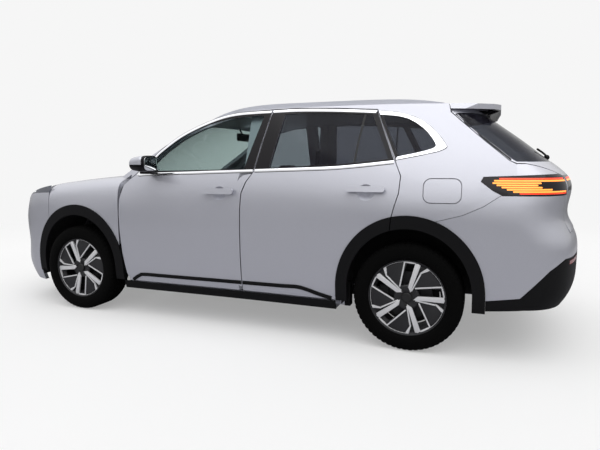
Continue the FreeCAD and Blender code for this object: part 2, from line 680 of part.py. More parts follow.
def build_doors():
    """The four doors with handles, and their windows."""
    pieces = [("front", front_door_outline, FRONT_GLASS, (-290, 1040), FRONT_HANDLE),
              ("rear", rear_door_outline, REAR_GLASS, (-1270, -50), REAR_HANDLE)]
    for place, points, glass_points, ends, grip in pieces:
        panel = door(points, glass_points, *ends)
        x0, x1, z0, z1 = grip
        middle = (x0 + x1) / 2
        level = (z0 + z1) / 2
        face_y = side_half_width(middle, level)
        hollow = cup(middle, level - 8, CUP_RADIUS, CUP_DEPTH, face_y)
        panel = panel.cut(hollow).fuse(handle(x0, x1, z0, z1))
        if place == "front":
            panel = panel.cut(rear_swing)
        else:
            panel = panel.cut(arch_clad_room[1])
            ring = side_slab(-1200, -800, DOOR_BOTTOM_Z - 5, 930, -CLADDING_PROUD, 25, (5, 8))
            ring = ring.common(arch_clad[1]).cut(arch_open[1]).common(side_prism(points))
            save("rear_door_cladding_left", ring)
            save("rear_door_cladding_right", mirrored(ring))
        pane = side_slab(*ends, 1150, 1650, GLASS_SET_BACK, GLASS_SET_BACK + GLASS_WALL, (6, 6))
        pane = pane.common(side_grown(glass_points, -GLASS_GAP))
        save(f"{place}_door_left", panel)
        save(f"{place}_door_right", mirrored(panel))
        save(f"{place}_door_glass_left", pane)
        save(f"{place}_door_glass_right", mirrored(pane))


def flap_prism(by):
    """The rounded outline of the fuel flap, grown by a gap."""
    x0, x1, z0, z1 = FLAP
    block = box(x0 - by, x1 + by, 0, FAR, z0 - by, z1 + by)
    across = [e for e in block.Edges if abs(e.Length - FAR) < 1]
    return block.makeFillet(FLAP_CORNER + by, across)


def side_frame():
    """The left side frame: rear quarter, pillars, roof side and sill."""
    side = side_slab(-1925, 1225, SILL_BOTTOM_Z, 1700, 0, SHELL_WALL, (11, 15), (7, 9))
    corner = cast_slab(tail_field, plan_rays(TAIL_AXIS_X, spread(1150, 1250, 4),
                                             spread(math.radians(112), math.radians(150), 8)),
                       0, SHELL_WALL).common(box(-FAR, -1925, 0, FAR, 0, FAR))
    side = side.fuse(corner)
    ring = side_slab(-1320, 1000, 1150, 1690, DOOR_FLANGE + SEAL_GAP + RING_STEP,
                     DOOR_FLANGE + RING_WALL, (7, 8), (7, 8))
    flange = side_grown(front_door_outline, 12).fuse(side_grown(rear_door_outline, 12))
    hollow = side_grown(front_door_outline, -RING_INSET).fuse(
        side_grown(rear_door_outline, -RING_INSET))
    ring = ring.common(flange).cut(hollow).cut(aperture.common(door_deep_room))
    side = side.cut(aperture).fuse(ring)
    for tool in (above_cabin, side_grown(fender_hole, FENDER_SEAT),
                 side_prism(QUARTER_GLASS), arch_clad_room[0], arch_clad_room[1], tail_lamp_room, tailgate_room,
                 side_grown(bumper_region, SHUT_GAP / 2), side_grown(valance_region, 3),
                 front_swing, rear_swing, box(-FAR, AXLE_REAR - 300, -FAR, FAR, 0, 480)):
        side = side.cut(tool)
    pillar = outline(PILLAR_B, lambda y, z: Vector(-170, y, z)).extrude(Vector(110, 0, 0))
    sill = box(SILL_ENDS[0], SILL_ENDS[1], SILL_INNER_Y, SILL_OUTER_Y, SILL_BOTTOM_Z, SILL_TOP_Z)
    under = box(SILL_ENDS[0], SILL_ENDS[1], SILL_OUTER_Y - 5, SILL_FLANGE_Y, SILL_BOTTOM_Z,
                SILL_BOTTOM_Z + 45)
    wall = wheelhouse_wall()
    side = side.fuse([pillar, sill, under.cut(arch_clad_room[0]).cut(arch_clad_room[1]), wall])
    return side


def wheelhouse_wall():
    """The rear inner wheel arch: a shell over the wheel, closed on its inner side."""
    half = CLADDING_HALF_LENGTH - WHEELHOUSE_INSET
    rise = CLADDING_RISE - WHEELHOUSE_INSET
    outer = arch_prism(AXLE_REAR, half, rise)
    inner = arch_prism(AXLE_REAR, half - WHEELHOUSE_WALL, rise - WHEELHOUSE_WALL)
    span = box(-FAR, FAR, WHEELHOUSE_Y, WHEELHOUSE_OUTER_Y, 330, FAR)
    plate = outer.common(box(-FAR, FAR, WHEELHOUSE_Y - WHEELHOUSE_WALL, WHEELHOUSE_Y, 330, FAR))
    return outer.cut(inner).common(span).fuse(plate)


def build_shell():
    """Roof, pillars, rear quarters and sills as one shell."""
    left = side_frame()
    roof = top_slab(cabin_height, -1900, 1300, 1100, 0, ROOF_WALL, (12, 9))
    roof = roof.common(box(-1515, 1256, -900, 900, 0, FAR))
    beside = side_slab(-1600, 1300, 1000, 1720, -400, ROOF_INSET, (9, 8), (12, 10))
    roof = roof.cut(beside).cut(mirrored(beside))
    roof = roof.cut(plan_prism(windscreen_outline)).cut(tailgate_room)
    roof = roof.cut(side_grown(fender_hole, FENDER_SEAT))
    roof = roof.cut(door_room).cut(mirrored(door_room))
    roof = roof.cut(plan_grown(bonnet_outline, SHUT_GAP))
    shell = roof.fuse([left, mirrored(left)])
    pocket = side_slab(FLAP[0] - 20, FLAP[1] + 20, FLAP[2] - 20, FLAP[3] + 20, -5, 30, (4, 4),
                       (4, 4)).common(flap_prism(FLAP_GAP))
    shell = shell.cut(pocket)
    flap = side_slab(FLAP[0] - 20, FLAP[1] + 20, FLAP[2] - 20, FLAP[3] + 20, 0, FLAP_WALL, (4, 4),
                     (4, 4)).common(flap_prism(0))
    save("body_shell", shell)
    save("fuel_flap", flap)
    pane = side_slab(-1500, -1040, 1240, 1600, GLASS_SET_BACK, GLASS_SET_BACK + GLASS_WALL, (6, 6))
    pane = pane.common(side_grown(QUARTER_GLASS, -GLASS_GAP))
    save("quarter_windows", Part.Compound([pane, mirrored(pane)]))
    screen = top_slab(cabin_height, 280, 1260, 790, GLASS_SET_BACK, GLASS_SET_BACK + GLASS_WALL)
    save("windscreen", screen.common(plan_grown(windscreen_outline, -GLASS_GAP)))


def build_front():
    """Fenders, bonnet, front bumper with its grille, and headlamps."""
    rays = [[(Vector(x, 0, 700), Vector(x, y, z)) for y, z in crest_targets]
            for x in spread(895, 1800, 8)]
    fender = cast_slab(crest_field, rays, 0, FENDER_WALL).common(side_prism(fender_region))
    glass_room = plan_grown(windscreen_outline, SHUT_GAP)
    for tool in (bonnet_room, arch_clad_room[0], glass_room, front_swing):
        fender = fender.cut(tool)
    save("front_fenders", Part.Compound([fender, mirrored(fender)]))

    beyond = cast_slab(nose_field, plan_rays(NOSE_AXIS_X, spread(840, 1100, 6), nose_angles), -300, 0)
    bonnet = top_slab(bonnet_height, 1130, 2330, 800, 0, BONNET_WALL, (9, 7))
    bonnet = bonnet.common(plan_prism(bonnet_outline)).cut(beyond)
    save("bonnet", bonnet)

    nose = cast_slab(nose_field, plan_rays(NOSE_AXIS_X, nose_heights, nose_angles), 0, BUMPER_WALL,
                     coarse=True)
    nose = nose.cut(above_bonnet).cut(bonnet_room)
    ahead = box(BUMPER_FRONT_X + SHUT_GAP / 2, FAR, -FAR, FAR, 0, FAR)
    bumper = nose.common(ahead).cut(headlamp_room)
    bumper = bumper.cut(headlamp_room.mirror(Vector(0, 0, 0), Vector(0, 1, 0)))
    bumper = bumper.cut(arch_clad_room[0]).cut(rear_prism(INTAKE, INTAKE_X, FAR))
    eye = cylinder_x(EYE_MOUTH_X - EYE_DEPTH, FAR, EYE_Y, EYE_Z, EYE_ROOM)
    save("front_bumper", main_solid(bumper.cut(eye)))
    lamp = nose.common(ahead).common(headlamp_prism)
    save("headlamps", Part.Compound([lamp, mirrored(lamp)]))

    bars = cast_slab(nose_field, plan_rays(NOSE_AXIS_X, spread(INTAKE_LOW - 5, INTAKE_HIGH + 5, 5),
                                           spread(-0.6, 0.6, 9)), SLAT_SET_BACK, SLAT_DEPTH)
    frame = grown(INTAKE, -TRIM_GAP, lambda y, z: Vector(INTAKE_X, y, z), Vector(FAR, 0, 0))
    inside = grown(INTAKE, -INTAKE_RIM, lambda y, z: Vector(INTAKE_X, y, z), Vector(FAR, 0, 0))
    pitch = (INTAKE_HIGH - INTAKE_LOW) / SLAT_COUNT
    slats = [box(INTAKE_X, FAR, -FAR, FAR, z, z + SLAT_HEIGHT)
             for z in spread(INTAKE_LOW + pitch, INTAKE_HIGH - pitch - SLAT_HEIGHT,
                             SLAT_COUNT - 1)]
    ribs = [box(INTAKE_X, FAR, y - RIB_HALF, y + RIB_HALF, 0, FAR) for y in RIB_Y]
    keep = frame.cut(inside).fuse(slats + ribs)
    save("front_grille", bars.common(frame).common(keep))


def build_rear():
    """Rear bumper, tailgate with spoiler and glass, and the tail lamps."""
    low = cast_slab(tail_field, plan_rays(TAIL_AXIS_X, tail_heights, tail_angles), 0, BUMPER_WALL,
                    coarse=True)
    bumper = low.common(side_prism(bumper_region)).cut(arch_clad_room[1]).cut(tailgate_room)
    save("rear_bumper", bumper)
    valance = low.common(side_prism(valance_region)).cut(arch_clad_room[1])
    lamp = low.common(side_prism(TAIL_LAMP)).cut(tailgate_room)
    save("tail_lamps", lamp)

    high = cast_slab(tail_field, plan_rays(GATE_AXIS_X, gate_heights, gate_angles), 0, TAILGATE_WALL)
    spoiler = top_slab(cabin_height, -1900, 1300, 1100, 0, SPOILER_WALL, (12, 9))
    spoiler = spoiler.common(plan_prism(spoiler_outline))
    beside = side_slab(-1900, -1480, 1500, 1720, -400, 0, (5, 6), (5, 6))
    gate = high.cut(above_cabin).fuse(spoiler).cut(beside).cut(mirrored(beside))
    gate = gate.common(side_prism(tailgate_side)).common(rear_prism(tailgate_rear, -FAR, 0))
    gate = gate.cut(side_prism(tailgate_glass_side))
    lamp_hole = box(-FAR, -1900, -LAMP_BAR_HALF, LAMP_BAR_HALF, *LAMP_BAR_Z)
    rays = plan_rays(GATE_AXIS_X, spread(LAMP_BAR_Z[0] - 22, LAMP_BAR_Z[1] + 22, 5), bar_angles)
    skin_layer = cast_slab(tail_field, rays, -9, LAMP_BAR_WALL)
    bar_layer = cast_slab(tail_field, rays, 0, LAMP_BAR_WALL - TRIM_GAP)
    save("tailgate", gate.cut(lamp_hole.common(skin_layer)))
    bar = box(-FAR, -1900, -LAMP_BAR_HALF + TRIM_GAP, LAMP_BAR_HALF - TRIM_GAP,
              LAMP_BAR_Z[0] + TRIM_GAP, LAMP_BAR_Z[1] - TRIM_GAP).common(bar_layer)
    save("tailgate_lamp_bar", bar)
    pane = cast_slab(tail_field, plan_rays(GATE_AXIS_X, spread(1230, 1580, 7), pane_angles),
                     GLASS_SET_BACK, GLASS_SET_BACK + GLASS_WALL)
    save("tailgate_glass", pane.common(side_grown(tailgate_glass_side, -GLASS_GAP)))
    return valance


def build_cladding(valance):
    """The black cladding: arch rings, sill strips and the rear valance."""
    rings = []
    for i, (x0, x1) in enumerate(((950, 1960), (-1800, -780))):
        ring = side_slab(x0, x1, 300, 930, -CLADDING_PROUD, 25, (7, 8))
        ring = ring.common(arch_clad[i]).cut(arch_open[i])
        if i == 1:
            ring = ring.cut(side_grown(rear_door_outline, SHUT_GAP))
        rings.append(ring)
    strip = side_slab(-890, 1065, SILL_BOTTOM_Z - 5, DOOR_BOTTOM_Z - SHUT_GAP,
                      -STRIP_OUTER, -STRIP_INNER, (6, 4), (6, 4))
    strip = strip.cut(arch_clad_room[0]).cut(arch_clad_room[1])
    left = rings + [strip]
    save("body_cladding", Part.Compound(left + [mirrored(p) for p in left] + [valance]))


def build_wheel(place, x, side):
    """A tyre and a rim, turned about the wheel axis; side is 1 on the left and -1 on the right."""
    inner, outer = WHEEL_Y - TYRE_WIDTH / 2, WHEEL_Y + TYRE_WIDTH / 2
    profile = [(RIM_RADIUS + 1, inner + BEAD_INSET), (WALL_RADIUS, inner),
               (TYRE_RADIUS, inner + SHOULDER), (TYRE_RADIUS, outer - SHOULDER),
               (WALL_RADIUS, outer), (RIM_RADIUS + 1, outer - BEAD_INSET)]
    tyre = revolve_y(profile, x, TYRE_RADIUS)
    lip = RIM_RADIUS + RIM_LIP
    bore = RIM_RADIUS - RIM_WALL
    edge, back = LIP_INSETS
    barrel = [(RIM_RADIUS, inner + SEAT_INSET), (lip, inner + back), (lip, inner + edge),
              (bore, inner + BORE_INSET), (bore, outer - BORE_INSET), (lip, outer - edge),
              (lip, outer - back), (RIM_RADIUS, outer - SEAT_INSET)]
    disc = [(HUB_BORE, HUB_FACE_Y), (HUB_RADIUS + 8, HUB_FACE_Y),
            (RIM_RADIUS - 6, RIM_DISC_Y - DISC_THICK), (RIM_RADIUS - 6, RIM_DISC_Y),
            (HUB_RADIUS + 30, RIM_DISC_Y - 6), (HUB_BORE, RIM_DISC_Y - 14)]
    rim = revolve_y(disc, x, TYRE_RADIUS)
    slot = [(84, -16), (RIM_RADIUS - 20, -27), (RIM_RADIUS - 20, 24), (84, 12)]
    for k in range(SPOKES):
        turn = math.radians(90 + SLOT_TURN + 360 / SPOKES * k)
        u = (math.cos(turn), math.sin(turn))
        points = [(x + r * u[0] - t * u[1], TYRE_RADIUS + r * u[1] + t * u[0]) for r, t in slot]
        rim = rim.cut(side_prism(points, 800, 960))
    rim = rim.fuse(revolve_y(barrel, x, TYRE_RADIUS))
    if side < 0:
        tyre, rim = mirrored(tyre), mirrored(rim)
    save(f"tyre_{place}", tyre)
    save(f"rim_{place}", rim)


def build_wheels():
    """Four wheels."""
    for end, x in (("front", AXLE_FRONT), ("rear", AXLE_REAR)):
        build_wheel(f"{end}_left", x, 1)
        build_wheel(f"{end}_right", x, -1)


def hub(x):
    """The round hub that carries a wheel, with its stub that centres the rim."""
    face = cylinder_y(x, TYRE_RADIUS, HUB_RADIUS, 735, HUB_FACE_Y - TRIM_GAP)
    return face.fuse(cylinder_y(x, TYRE_RADIUS, HUB_BORE - TRIM_GAP, 735, HUB_FACE_Y + 14))


def build_running_gear():
    """Knuckles, front subframe with its arms, rear subframe with its arms and hub carriers."""
    upright = box_at(AXLE_FRONT, KNUCKLE_BOX)
    knuckle = upright.fuse(hub(AXLE_FRONT))
    save("knuckle_left", knuckle)
    save("knuckle_right", mirrored(knuckle))
    arm = plan_prism([(AXLE_FRONT + a, b) for a, b in ARM_OUTLINE], *ARM_Z)
    half = [arm, box_at(AXLE_FRONT, FRONT_POST_BOX), box_at(AXLE_FRONT, FRONT_REAR_POST_BOX)]
    cross = box_at(AXLE_FRONT, FRONT_CROSS_BOX)
    save("front_subframe", cross.fuse(half + [mirrored(p) for p in half]
                                      + [box_at(AXLE_FRONT, ENGINE_PAD_BOX)]))
    carrier = box_at(AXLE_REAR, CARRIER_BOX).fuse(hub(AXLE_REAR))
    half = [carrier, box_at(AXLE_REAR, REAR_MOUNT_BOX)] + [box_at(AXLE_REAR, b) for b in REAR_LINK_BOXES]
    beam = box_at(AXLE_REAR, REAR_BEAM_BOX)
    save("rear_subframe", beam.fuse(half + [mirrored(p) for p in half]))


def build_floor():
    """Floor pan with bulkhead, seat step and luggage floor, front rails and inner wings."""
    inner = SILL_INNER_Y - TRIM_GAP
    floor = box(FLOOR_REAR_X, FIREWALL_X[1], -inner, inner, FLOOR_LOW_Z, FLOOR_LOW_Z + FLOOR_WALL)
    tunnel = box(*TUNNEL_BOX).cut(box(*TUNNEL_HOLLOW_BOX))
    bulkhead = box(*FIREWALL_X, -inner, inner, FLOOR_LOW_Z, BULKHEAD_TOP_Z)
    step = box(FLOOR_REAR_X, STEP_X, -inner, inner, FLOOR_LOW_Z, LUGGAGE_Z + FLOOR_WALL)
    side = WHEELHOUSE_Y - WHEELHOUSE_WALL - TRIM_GAP
    tail_x = TAIL_PANEL_BOX[1]
    luggage = box(tail_x, STEP_X, -side, side, LUGGAGE_Z, LUGGAGE_Z + FLOOR_WALL)
    ledge = box(*LEDGE_X, -LEDGE_Y, LEDGE_Y, LUGGAGE_Z, LUGGAGE_Z + FLOOR_WALL)
    half = [box(*FRONT_RAIL_BOX), box(*INNER_WING_BOX)]
    boss = cylinder_x(BUMPER_BEAM_BOX[0], EYE_MOUTH_X, EYE_Y, EYE_Z, EYE_BOSS)
    arch = arch_prism(AXLE_REAR, CLADDING_HALF_LENGTH - WHEELHOUSE_INSET + TRIM_GAP,
                      CLADDING_RISE - WHEELHOUSE_INSET + TRIM_GAP)
    arch = arch.common(box(-FAR, 0, side, FAR, 0, FAR))
    floor = floor.fuse(step).cut(arch).cut(mirrored(arch))
    frame = floor.fuse([tunnel, bulkhead, luggage, ledge, box(*TAIL_PANEL_BOX), box(*LOAD_PAD_BOX)]
                       + half + [mirrored(p) for p in half]
                       + [box(*BUMPER_BEAM_BOX), box(*RADIATOR_BOX), boss])
    hole = cylinder_x(EYE_MOUTH_X - EYE_DEPTH, EYE_MOUTH_X, EYE_Y, EYE_Z, EYE_RADIUS)
    save("floor_pan", frame.cut(hole))
    save("engine_block", box(*ENGINE_BOX))


def build_cabin():
    """Dashboard, steering wheel and seats."""
    dash = outline(DASH_SIDE, lambda x, z: Vector(x, -DASH_HALF, z))
    save("dashboard", dash.extrude(Vector(0, 2 * DASH_HALF, 0)))
    section = [(WHEEL_RING + GRIP_RADIUS * math.cos(math.radians(a)), GRIP_RADIUS * math.sin(math.radians(a)))
               for a in range(0, 360, 45)]
    corners = [Vector(r, 0, z) for r, z in section]
    grip = Part.Face(Part.makePolygon(corners + corners[:1]))
    ring = grip.revolve(Vector(0, 0, 0), Vector(0, 0, 1), 360)
    hub_pad = Part.makeCylinder(PAD_RADIUS, PAD_HEIGHT, Vector(0, 0, -30))
    bars = []
    for turn in BAR_TURNS:
        bar = Part.makeBox(WHEEL_RING, BAR_WIDTH, BAR_THICK, Vector(0, -BAR_WIDTH / 2, -10))
        bar.rotate(Vector(0, 0, 0), Vector(0, 0, 1), turn)
        bars.append(bar)
    column = Part.makeCylinder(COLUMN_RADIUS, 150, Vector(0, 0, -170))
    steering = ring.fuse([hub_pad, column] + bars)
    steering.rotate(Vector(0, 0, 0), Vector(0, 1, 0), -COLUMN_TILT)
    steering.translate(Vector(*STEERING_CENTRE))
    save("steering_wheel", steering)
    front_seats = [seat(FRONT_SEAT_X, y, FRONT_SEAT_WIDTH) for y in (SEAT_Y, -SEAT_Y)]
    save("seats", Part.Compound(front_seats + [seat(REAR_SEAT_X, 0, BENCH_WIDTH)]))


def seat(x, y, width):
    """A seat with cushion, back and head restraint as one soft solid; x is the hip point."""
    points = SEAT_SIDE if width < BENCH_WIDTH else BENCH_SIDE
    face = outline(points, lambda a, z: Vector(x + a, y - width / 2, z))
    x0, x1, y0, y1, _, top = TUNNEL_BOX
    room = box(x0 - TRIM_GAP, x1 + TRIM_GAP, y0 - TRIM_GAP, y1 + TRIM_GAP, 0, top + TRIM_GAP)
    body = face.extrude(Vector(0, width, 0)).cut(room)
    rests = []
    places = (y,) if width < BENCH_WIDTH else (y - width / 3.2, y + width / 3.2)
    for place in places:
        head = outline(HEAD_REST_SIDE, lambda a, z, c=place: Vector(x + a, c - HEAD_REST_HALF, z))
        rests.append(head.extrude(Vector(0, 2 * HEAD_REST_HALF, 0)))
    return body.fuse(rests)


def build_roof_rails():
    """Two slim rails that rise from the roof and run along it."""
    x0, x1 = RAIL_ENDS
    crown = max(cabin_height(x, RAIL_TRACK_Y) for x in spread(x0, x1, 60))
    rise = HEIGHT - crown
    low, high = [], []
    for x in spread(x0, x1, 13):
        u = abs(2 * (x - x0) / (x1 - x0) - 1)
        base = cabin_height(x, RAIL_TRACK_Y - RAIL_WIDTH / 2) + TRIM_GAP
        low.append(Vector(x, RAIL_TRACK_Y - RAIL_WIDTH / 2, base))
        level = cabin_height(x, RAIL_TRACK_Y) + rise * (1 - u ** 6)
        high.append(Vector(x, RAIL_TRACK_Y - RAIL_WIDTH / 2, max(level, base + 3)))
    bottom = Part.BSplineCurve()
    bottom.interpolate(low)
    top = Part.BSplineCurve()
    top.interpolate(high)
    ends = [Part.makeLine(low[0], high[0]), Part.makeLine(low[-1], high[-1])]
    wire = Part.Wire(Part.__sortEdges__([bottom.toShape(), top.toShape()] + ends))
    rail = Part.Face(wire).extrude(Vector(0, RAIL_WIDTH, 0))
    save("roof_rails", Part.Compound([rail, mirrored(rail)]))


def build_mirrors():
    """The door mirrors: a rounded housing on a foot that stands on the door."""
    housing = box(*MIRROR_X, *MIRROR_Y, *MIRROR_Z)
    front = [e for e in housing.Edges if e.BoundBox.XMin > MIRROR_X[1] - 1]
    housing = housing.makeFillet(52, front)
    foot = plan_prism([(700, 880), (840, 880), (735, 1000), (610, 1000)], 1168, 1196)
    sheet = side_slab(600, 900, 1150, 1210, -200, -TRIM_GAP, (4, 4), (4, 4))
    mirror = housing.fuse(foot.common(sheet))
    save("mirror_left", mirror)
    save("mirror_right", mirrored(mirror))


build_doors()
build_shell()
build_front()
build_cladding(build_rear())
build_wheels()
build_running_gear()
build_floor()
build_cabin()
build_roof_rails()
build_mirrors()

for name, shape in nodes.items():
    shape.exportStep(f"parts/{name}.step")
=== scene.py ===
"""Looks of a silver crossover car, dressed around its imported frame."""

import logging
import math
from dataclasses import dataclass, field
from enum import Enum
from typing import Callable, Iterable, Sequence

import bmesh
import bpy
from mathutils import Matrix, Vector
from mathutils.bvhtree import BVHTree


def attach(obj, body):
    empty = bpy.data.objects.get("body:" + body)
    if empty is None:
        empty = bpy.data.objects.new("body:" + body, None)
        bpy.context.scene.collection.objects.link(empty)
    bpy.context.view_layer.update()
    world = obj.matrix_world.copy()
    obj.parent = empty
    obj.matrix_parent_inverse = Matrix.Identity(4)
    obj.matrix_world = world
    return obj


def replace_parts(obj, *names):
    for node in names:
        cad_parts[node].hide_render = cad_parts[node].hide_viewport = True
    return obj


LOG = logging.getLogger("crossover")
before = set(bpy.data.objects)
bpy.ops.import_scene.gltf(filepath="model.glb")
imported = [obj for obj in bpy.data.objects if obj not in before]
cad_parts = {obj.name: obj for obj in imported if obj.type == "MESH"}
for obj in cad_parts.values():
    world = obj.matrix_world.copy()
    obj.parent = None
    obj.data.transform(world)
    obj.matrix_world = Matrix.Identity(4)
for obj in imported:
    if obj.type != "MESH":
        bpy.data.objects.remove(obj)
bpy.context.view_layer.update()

MM = 0.001
AXLE_FRONT = 1.465
AXLE_REAR = -1.290
TYRE_RADIUS = 0.3588
TYRE_OUTER = 0.930
TYRE_WIDTH = 0.235
SPLIT_ROUNDS = 4
Point = tuple[float, float]


class Side(Enum):
    """A side of the car, with its sign along Y."""

    LEFT = 1
    RIGHT = -1

    @property
    def word(self) -> str:
        """The side as it stands in names."""
        return self.name.lower()


# ---- Colours and node materials


def linear(code: str) -> tuple[float, float, float, float]:
    """An sRGB hex colour as linear values.

    Args:
        code: A colour such as "c4c6cf".

    Returns:
        Red, green, blue and full alpha.
    """
    parts = [int(code[i:i + 2], 16) / 255 for i in (0, 2, 4)]
    return tuple(p / 12.92 if p <= 0.04045 else ((p + 0.055) / 1.055) ** 2.4 for p in parts) + (1.0,)


def add(tree: bpy.types.NodeTree, kind: str, links: dict | None = None,
        **settings: object) -> bpy.types.Node:
    """Adds a node with its settings and its input links.

    Args:
        tree: The tree to add to.
        kind: The node's type name.
        links: Input name or number to an output socket or a plain value.
        settings: Attributes of the node.

    Returns:
        The new node.
    """
    node = tree.nodes.new(kind)
    for key, value in settings.items():
        setattr(node, key, value)
    for key, value in (links or {}).items():
        if isinstance(value, bpy.types.NodeSocket):
            tree.links.new(value, node.inputs[key])
        else:
            node.inputs[key].default_value = value
    return node


def blank(name: str) -> tuple[bpy.types.Material, bpy.types.NodeTree, bpy.types.Node]:
    """A new material with only its output node.

    Args:
        name: The material's name.

    Returns:
        The material, its tree and its output node.
    """
    material = bpy.data.materials.new(name)
    material.use_nodes = True
    material.node_tree.nodes.clear()
    return material, material.node_tree, material.node_tree.nodes.new("ShaderNodeOutputMaterial")


class Look:
    """A finish whose material is built once and then used again."""

    name: str

    def make(self) -> bpy.types.Material:
        """The material, built at its first use."""
        return bpy.data.materials.get(self.name) or self.build()

    def build(self) -> bpy.types.Material:
        """Builds the material's nodes.

        Returns:
            The material.
        """
        raise NotImplementedError


@dataclass(frozen=True)
class Finish(Look):
    """A moulded, painted or cast surface: a colour that varies a little and a fine grain."""

    name: str
    colour: str
    second: str
    roughness: float = 0.5
    metallic: float = 0.0
    coat: float = 0.0
    grain_mm: float = 2.0
    bump: float = 0.0
    rough_change: float = 0.06
    ior: float = 1.5
    emission: float = 0.0

    def build(self) -> bpy.types.Material:
        """Builds the grain, the drift of colour and the glow.

        Returns:
            The material.
        """
        material, tree, out = blank(self.name)
        place = add(tree, "ShaderNodeTexCoord").outputs["Object"]
        grain = add(tree, "ShaderNodeTexNoise", {"Vector": place, "Scale": 1 / (self.grain_mm * MM),
                                                 "Detail": 3.0})
        drift = add(tree, "ShaderNodeTexNoise", {"Vector": place, "Scale": 3.0, "Detail": 2.0})
        mix = add(tree, "ShaderNodeMix", {0: drift.outputs["Fac"], 6: linear(self.colour),
                                          7: linear(self.second)}, data_type="RGBA")
        rough = add(tree, "ShaderNodeMapRange",
                    {"Value": grain.outputs["Fac"],
                     "To Min": max(0.0, self.roughness - self.rough_change),
                     "To Max": min(1.0, self.roughness + self.rough_change)})
        shader = add(tree, "ShaderNodeBsdfPrincipled",
                     {"Base Color": mix.outputs[2], "Metallic": self.metallic,
                      "Roughness": rough.outputs["Result"], "IOR": self.ior, "Coat Weight": self.coat,
                      "Coat Roughness": 0.03})
        if self.bump:
            relief = add(tree, "ShaderNodeBump", {"Height": grain.outputs["Fac"], "Strength": self.bump,
                                                  "Distance": self.grain_mm * MM * 0.3})
            tree.links.new(relief.outputs["Normal"], shader.inputs["Normal"])
        if self.emission:
            tree.links.new(mix.outputs[2], shader.inputs["Emission Color"])
            shader.inputs["Emission Strength"].default_value = self.emission
        tree.links.new(shader.outputs[0], out.inputs[0])
        return material


@dataclass(frozen=True)
class MetallicPaint(Look):
    """Sprayed metallic paint under clear lacquer: aluminium flakes that shift the tone slightly."""

    name: str = "silver_metallic_paint"
    face: str = "b4b5be"
    flake: str = "cccdd6"
    flake_mm: float = 1.2
    metallic: float = 0.55
    lacquer: float = 0.7

    def build(self) -> bpy.types.Material:
        """Builds the paint's nodes.

        Returns:
            The material.
        """
        material, tree, out = blank(self.name)
        place = add(tree, "ShaderNodeTexCoord").outputs["Object"]
        flakes = add(tree, "ShaderNodeTexVoronoi", {"Vector": place, "Scale": 1 / (self.flake_mm * MM)})
        tone = add(tree, "ShaderNodeMapRange", {"Value": flakes.outputs["Color"], "To Min": 0.30,
                                                "To Max": 0.70})
        mix = add(tree, "ShaderNodeMix", {0: tone.outputs["Result"], 6: linear(self.face),
                                          7: linear(self.flake)}, data_type="RGBA")
        peel = add(tree, "ShaderNodeTexNoise", {"Vector": place, "Scale": 180.0, "Detail": 1.0})
        skin = add(tree, "ShaderNodeBump", {"Height": peel.outputs["Fac"], "Strength": 0.02,
                                            "Distance": 0.0004})
        rough = add(tree, "ShaderNodeMapRange", {"Value": flakes.outputs["Distance"], "To Min": 0.38,
                                                 "To Max": 0.46})
        shader = add(tree, "ShaderNodeBsdfPrincipled",
                     {"Base Color": mix.outputs[2], "Metallic": self.metallic,
                      "Roughness": rough.outputs["Result"], "Coat Weight": self.lacquer,
                      "Coat Roughness": 0.04, "Coat Normal": skin.outputs["Normal"]})
        tree.links.new(shader.outputs[0], out.inputs[0])
        return material


@dataclass(frozen=True)
class Glazing(Look):
    """Float glass in a thin pane: it tints what light it lets through and mirrors at its face."""

    name: str
    tint: str
    mirror: str = "0b0d0e"
    share: float = 0.10

    def build(self) -> bpy.types.Material:
        """Builds the glass's nodes.

        Returns:
            The material.
        """
        material, tree, out = blank(self.name)
        place = add(tree, "ShaderNodeTexCoord").outputs["Object"]
        smear = add(tree, "ShaderNodeTexNoise", {"Vector": place, "Scale": 9.0, "Detail": 2.0})
        rough = add(tree, "ShaderNodeMapRange", {"Value": smear.outputs["Fac"], "To Min": 0.0,
                                                 "To Max": 0.03})
        clear = add(tree, "ShaderNodeBsdfTransparent", {"Color": linear(self.tint)})
        face = add(tree, "ShaderNodeBsdfPrincipled",
                   {"Base Color": linear(self.mirror), "Roughness": rough.outputs["Result"],
                    "IOR": 1.52})
        edge = add(tree, "ShaderNodeLayerWeight", {"Blend": 0.5})
        slant = add(tree, "ShaderNodeMath", {0: edge.outputs["Facing"], 1: 5.0}, operation="POWER")
        amount = add(tree, "ShaderNodeMapRange", {"Value": slant.outputs[0], "To Min": self.share,
                                                  "To Max": 0.9})
        mix = add(tree, "ShaderNodeMixShader", {0: amount.outputs["Result"], 1: clear.outputs[0],
                                                2: face.outputs[0]})
        tree.links.new(mix.outputs[0], out.inputs[0])
        return material


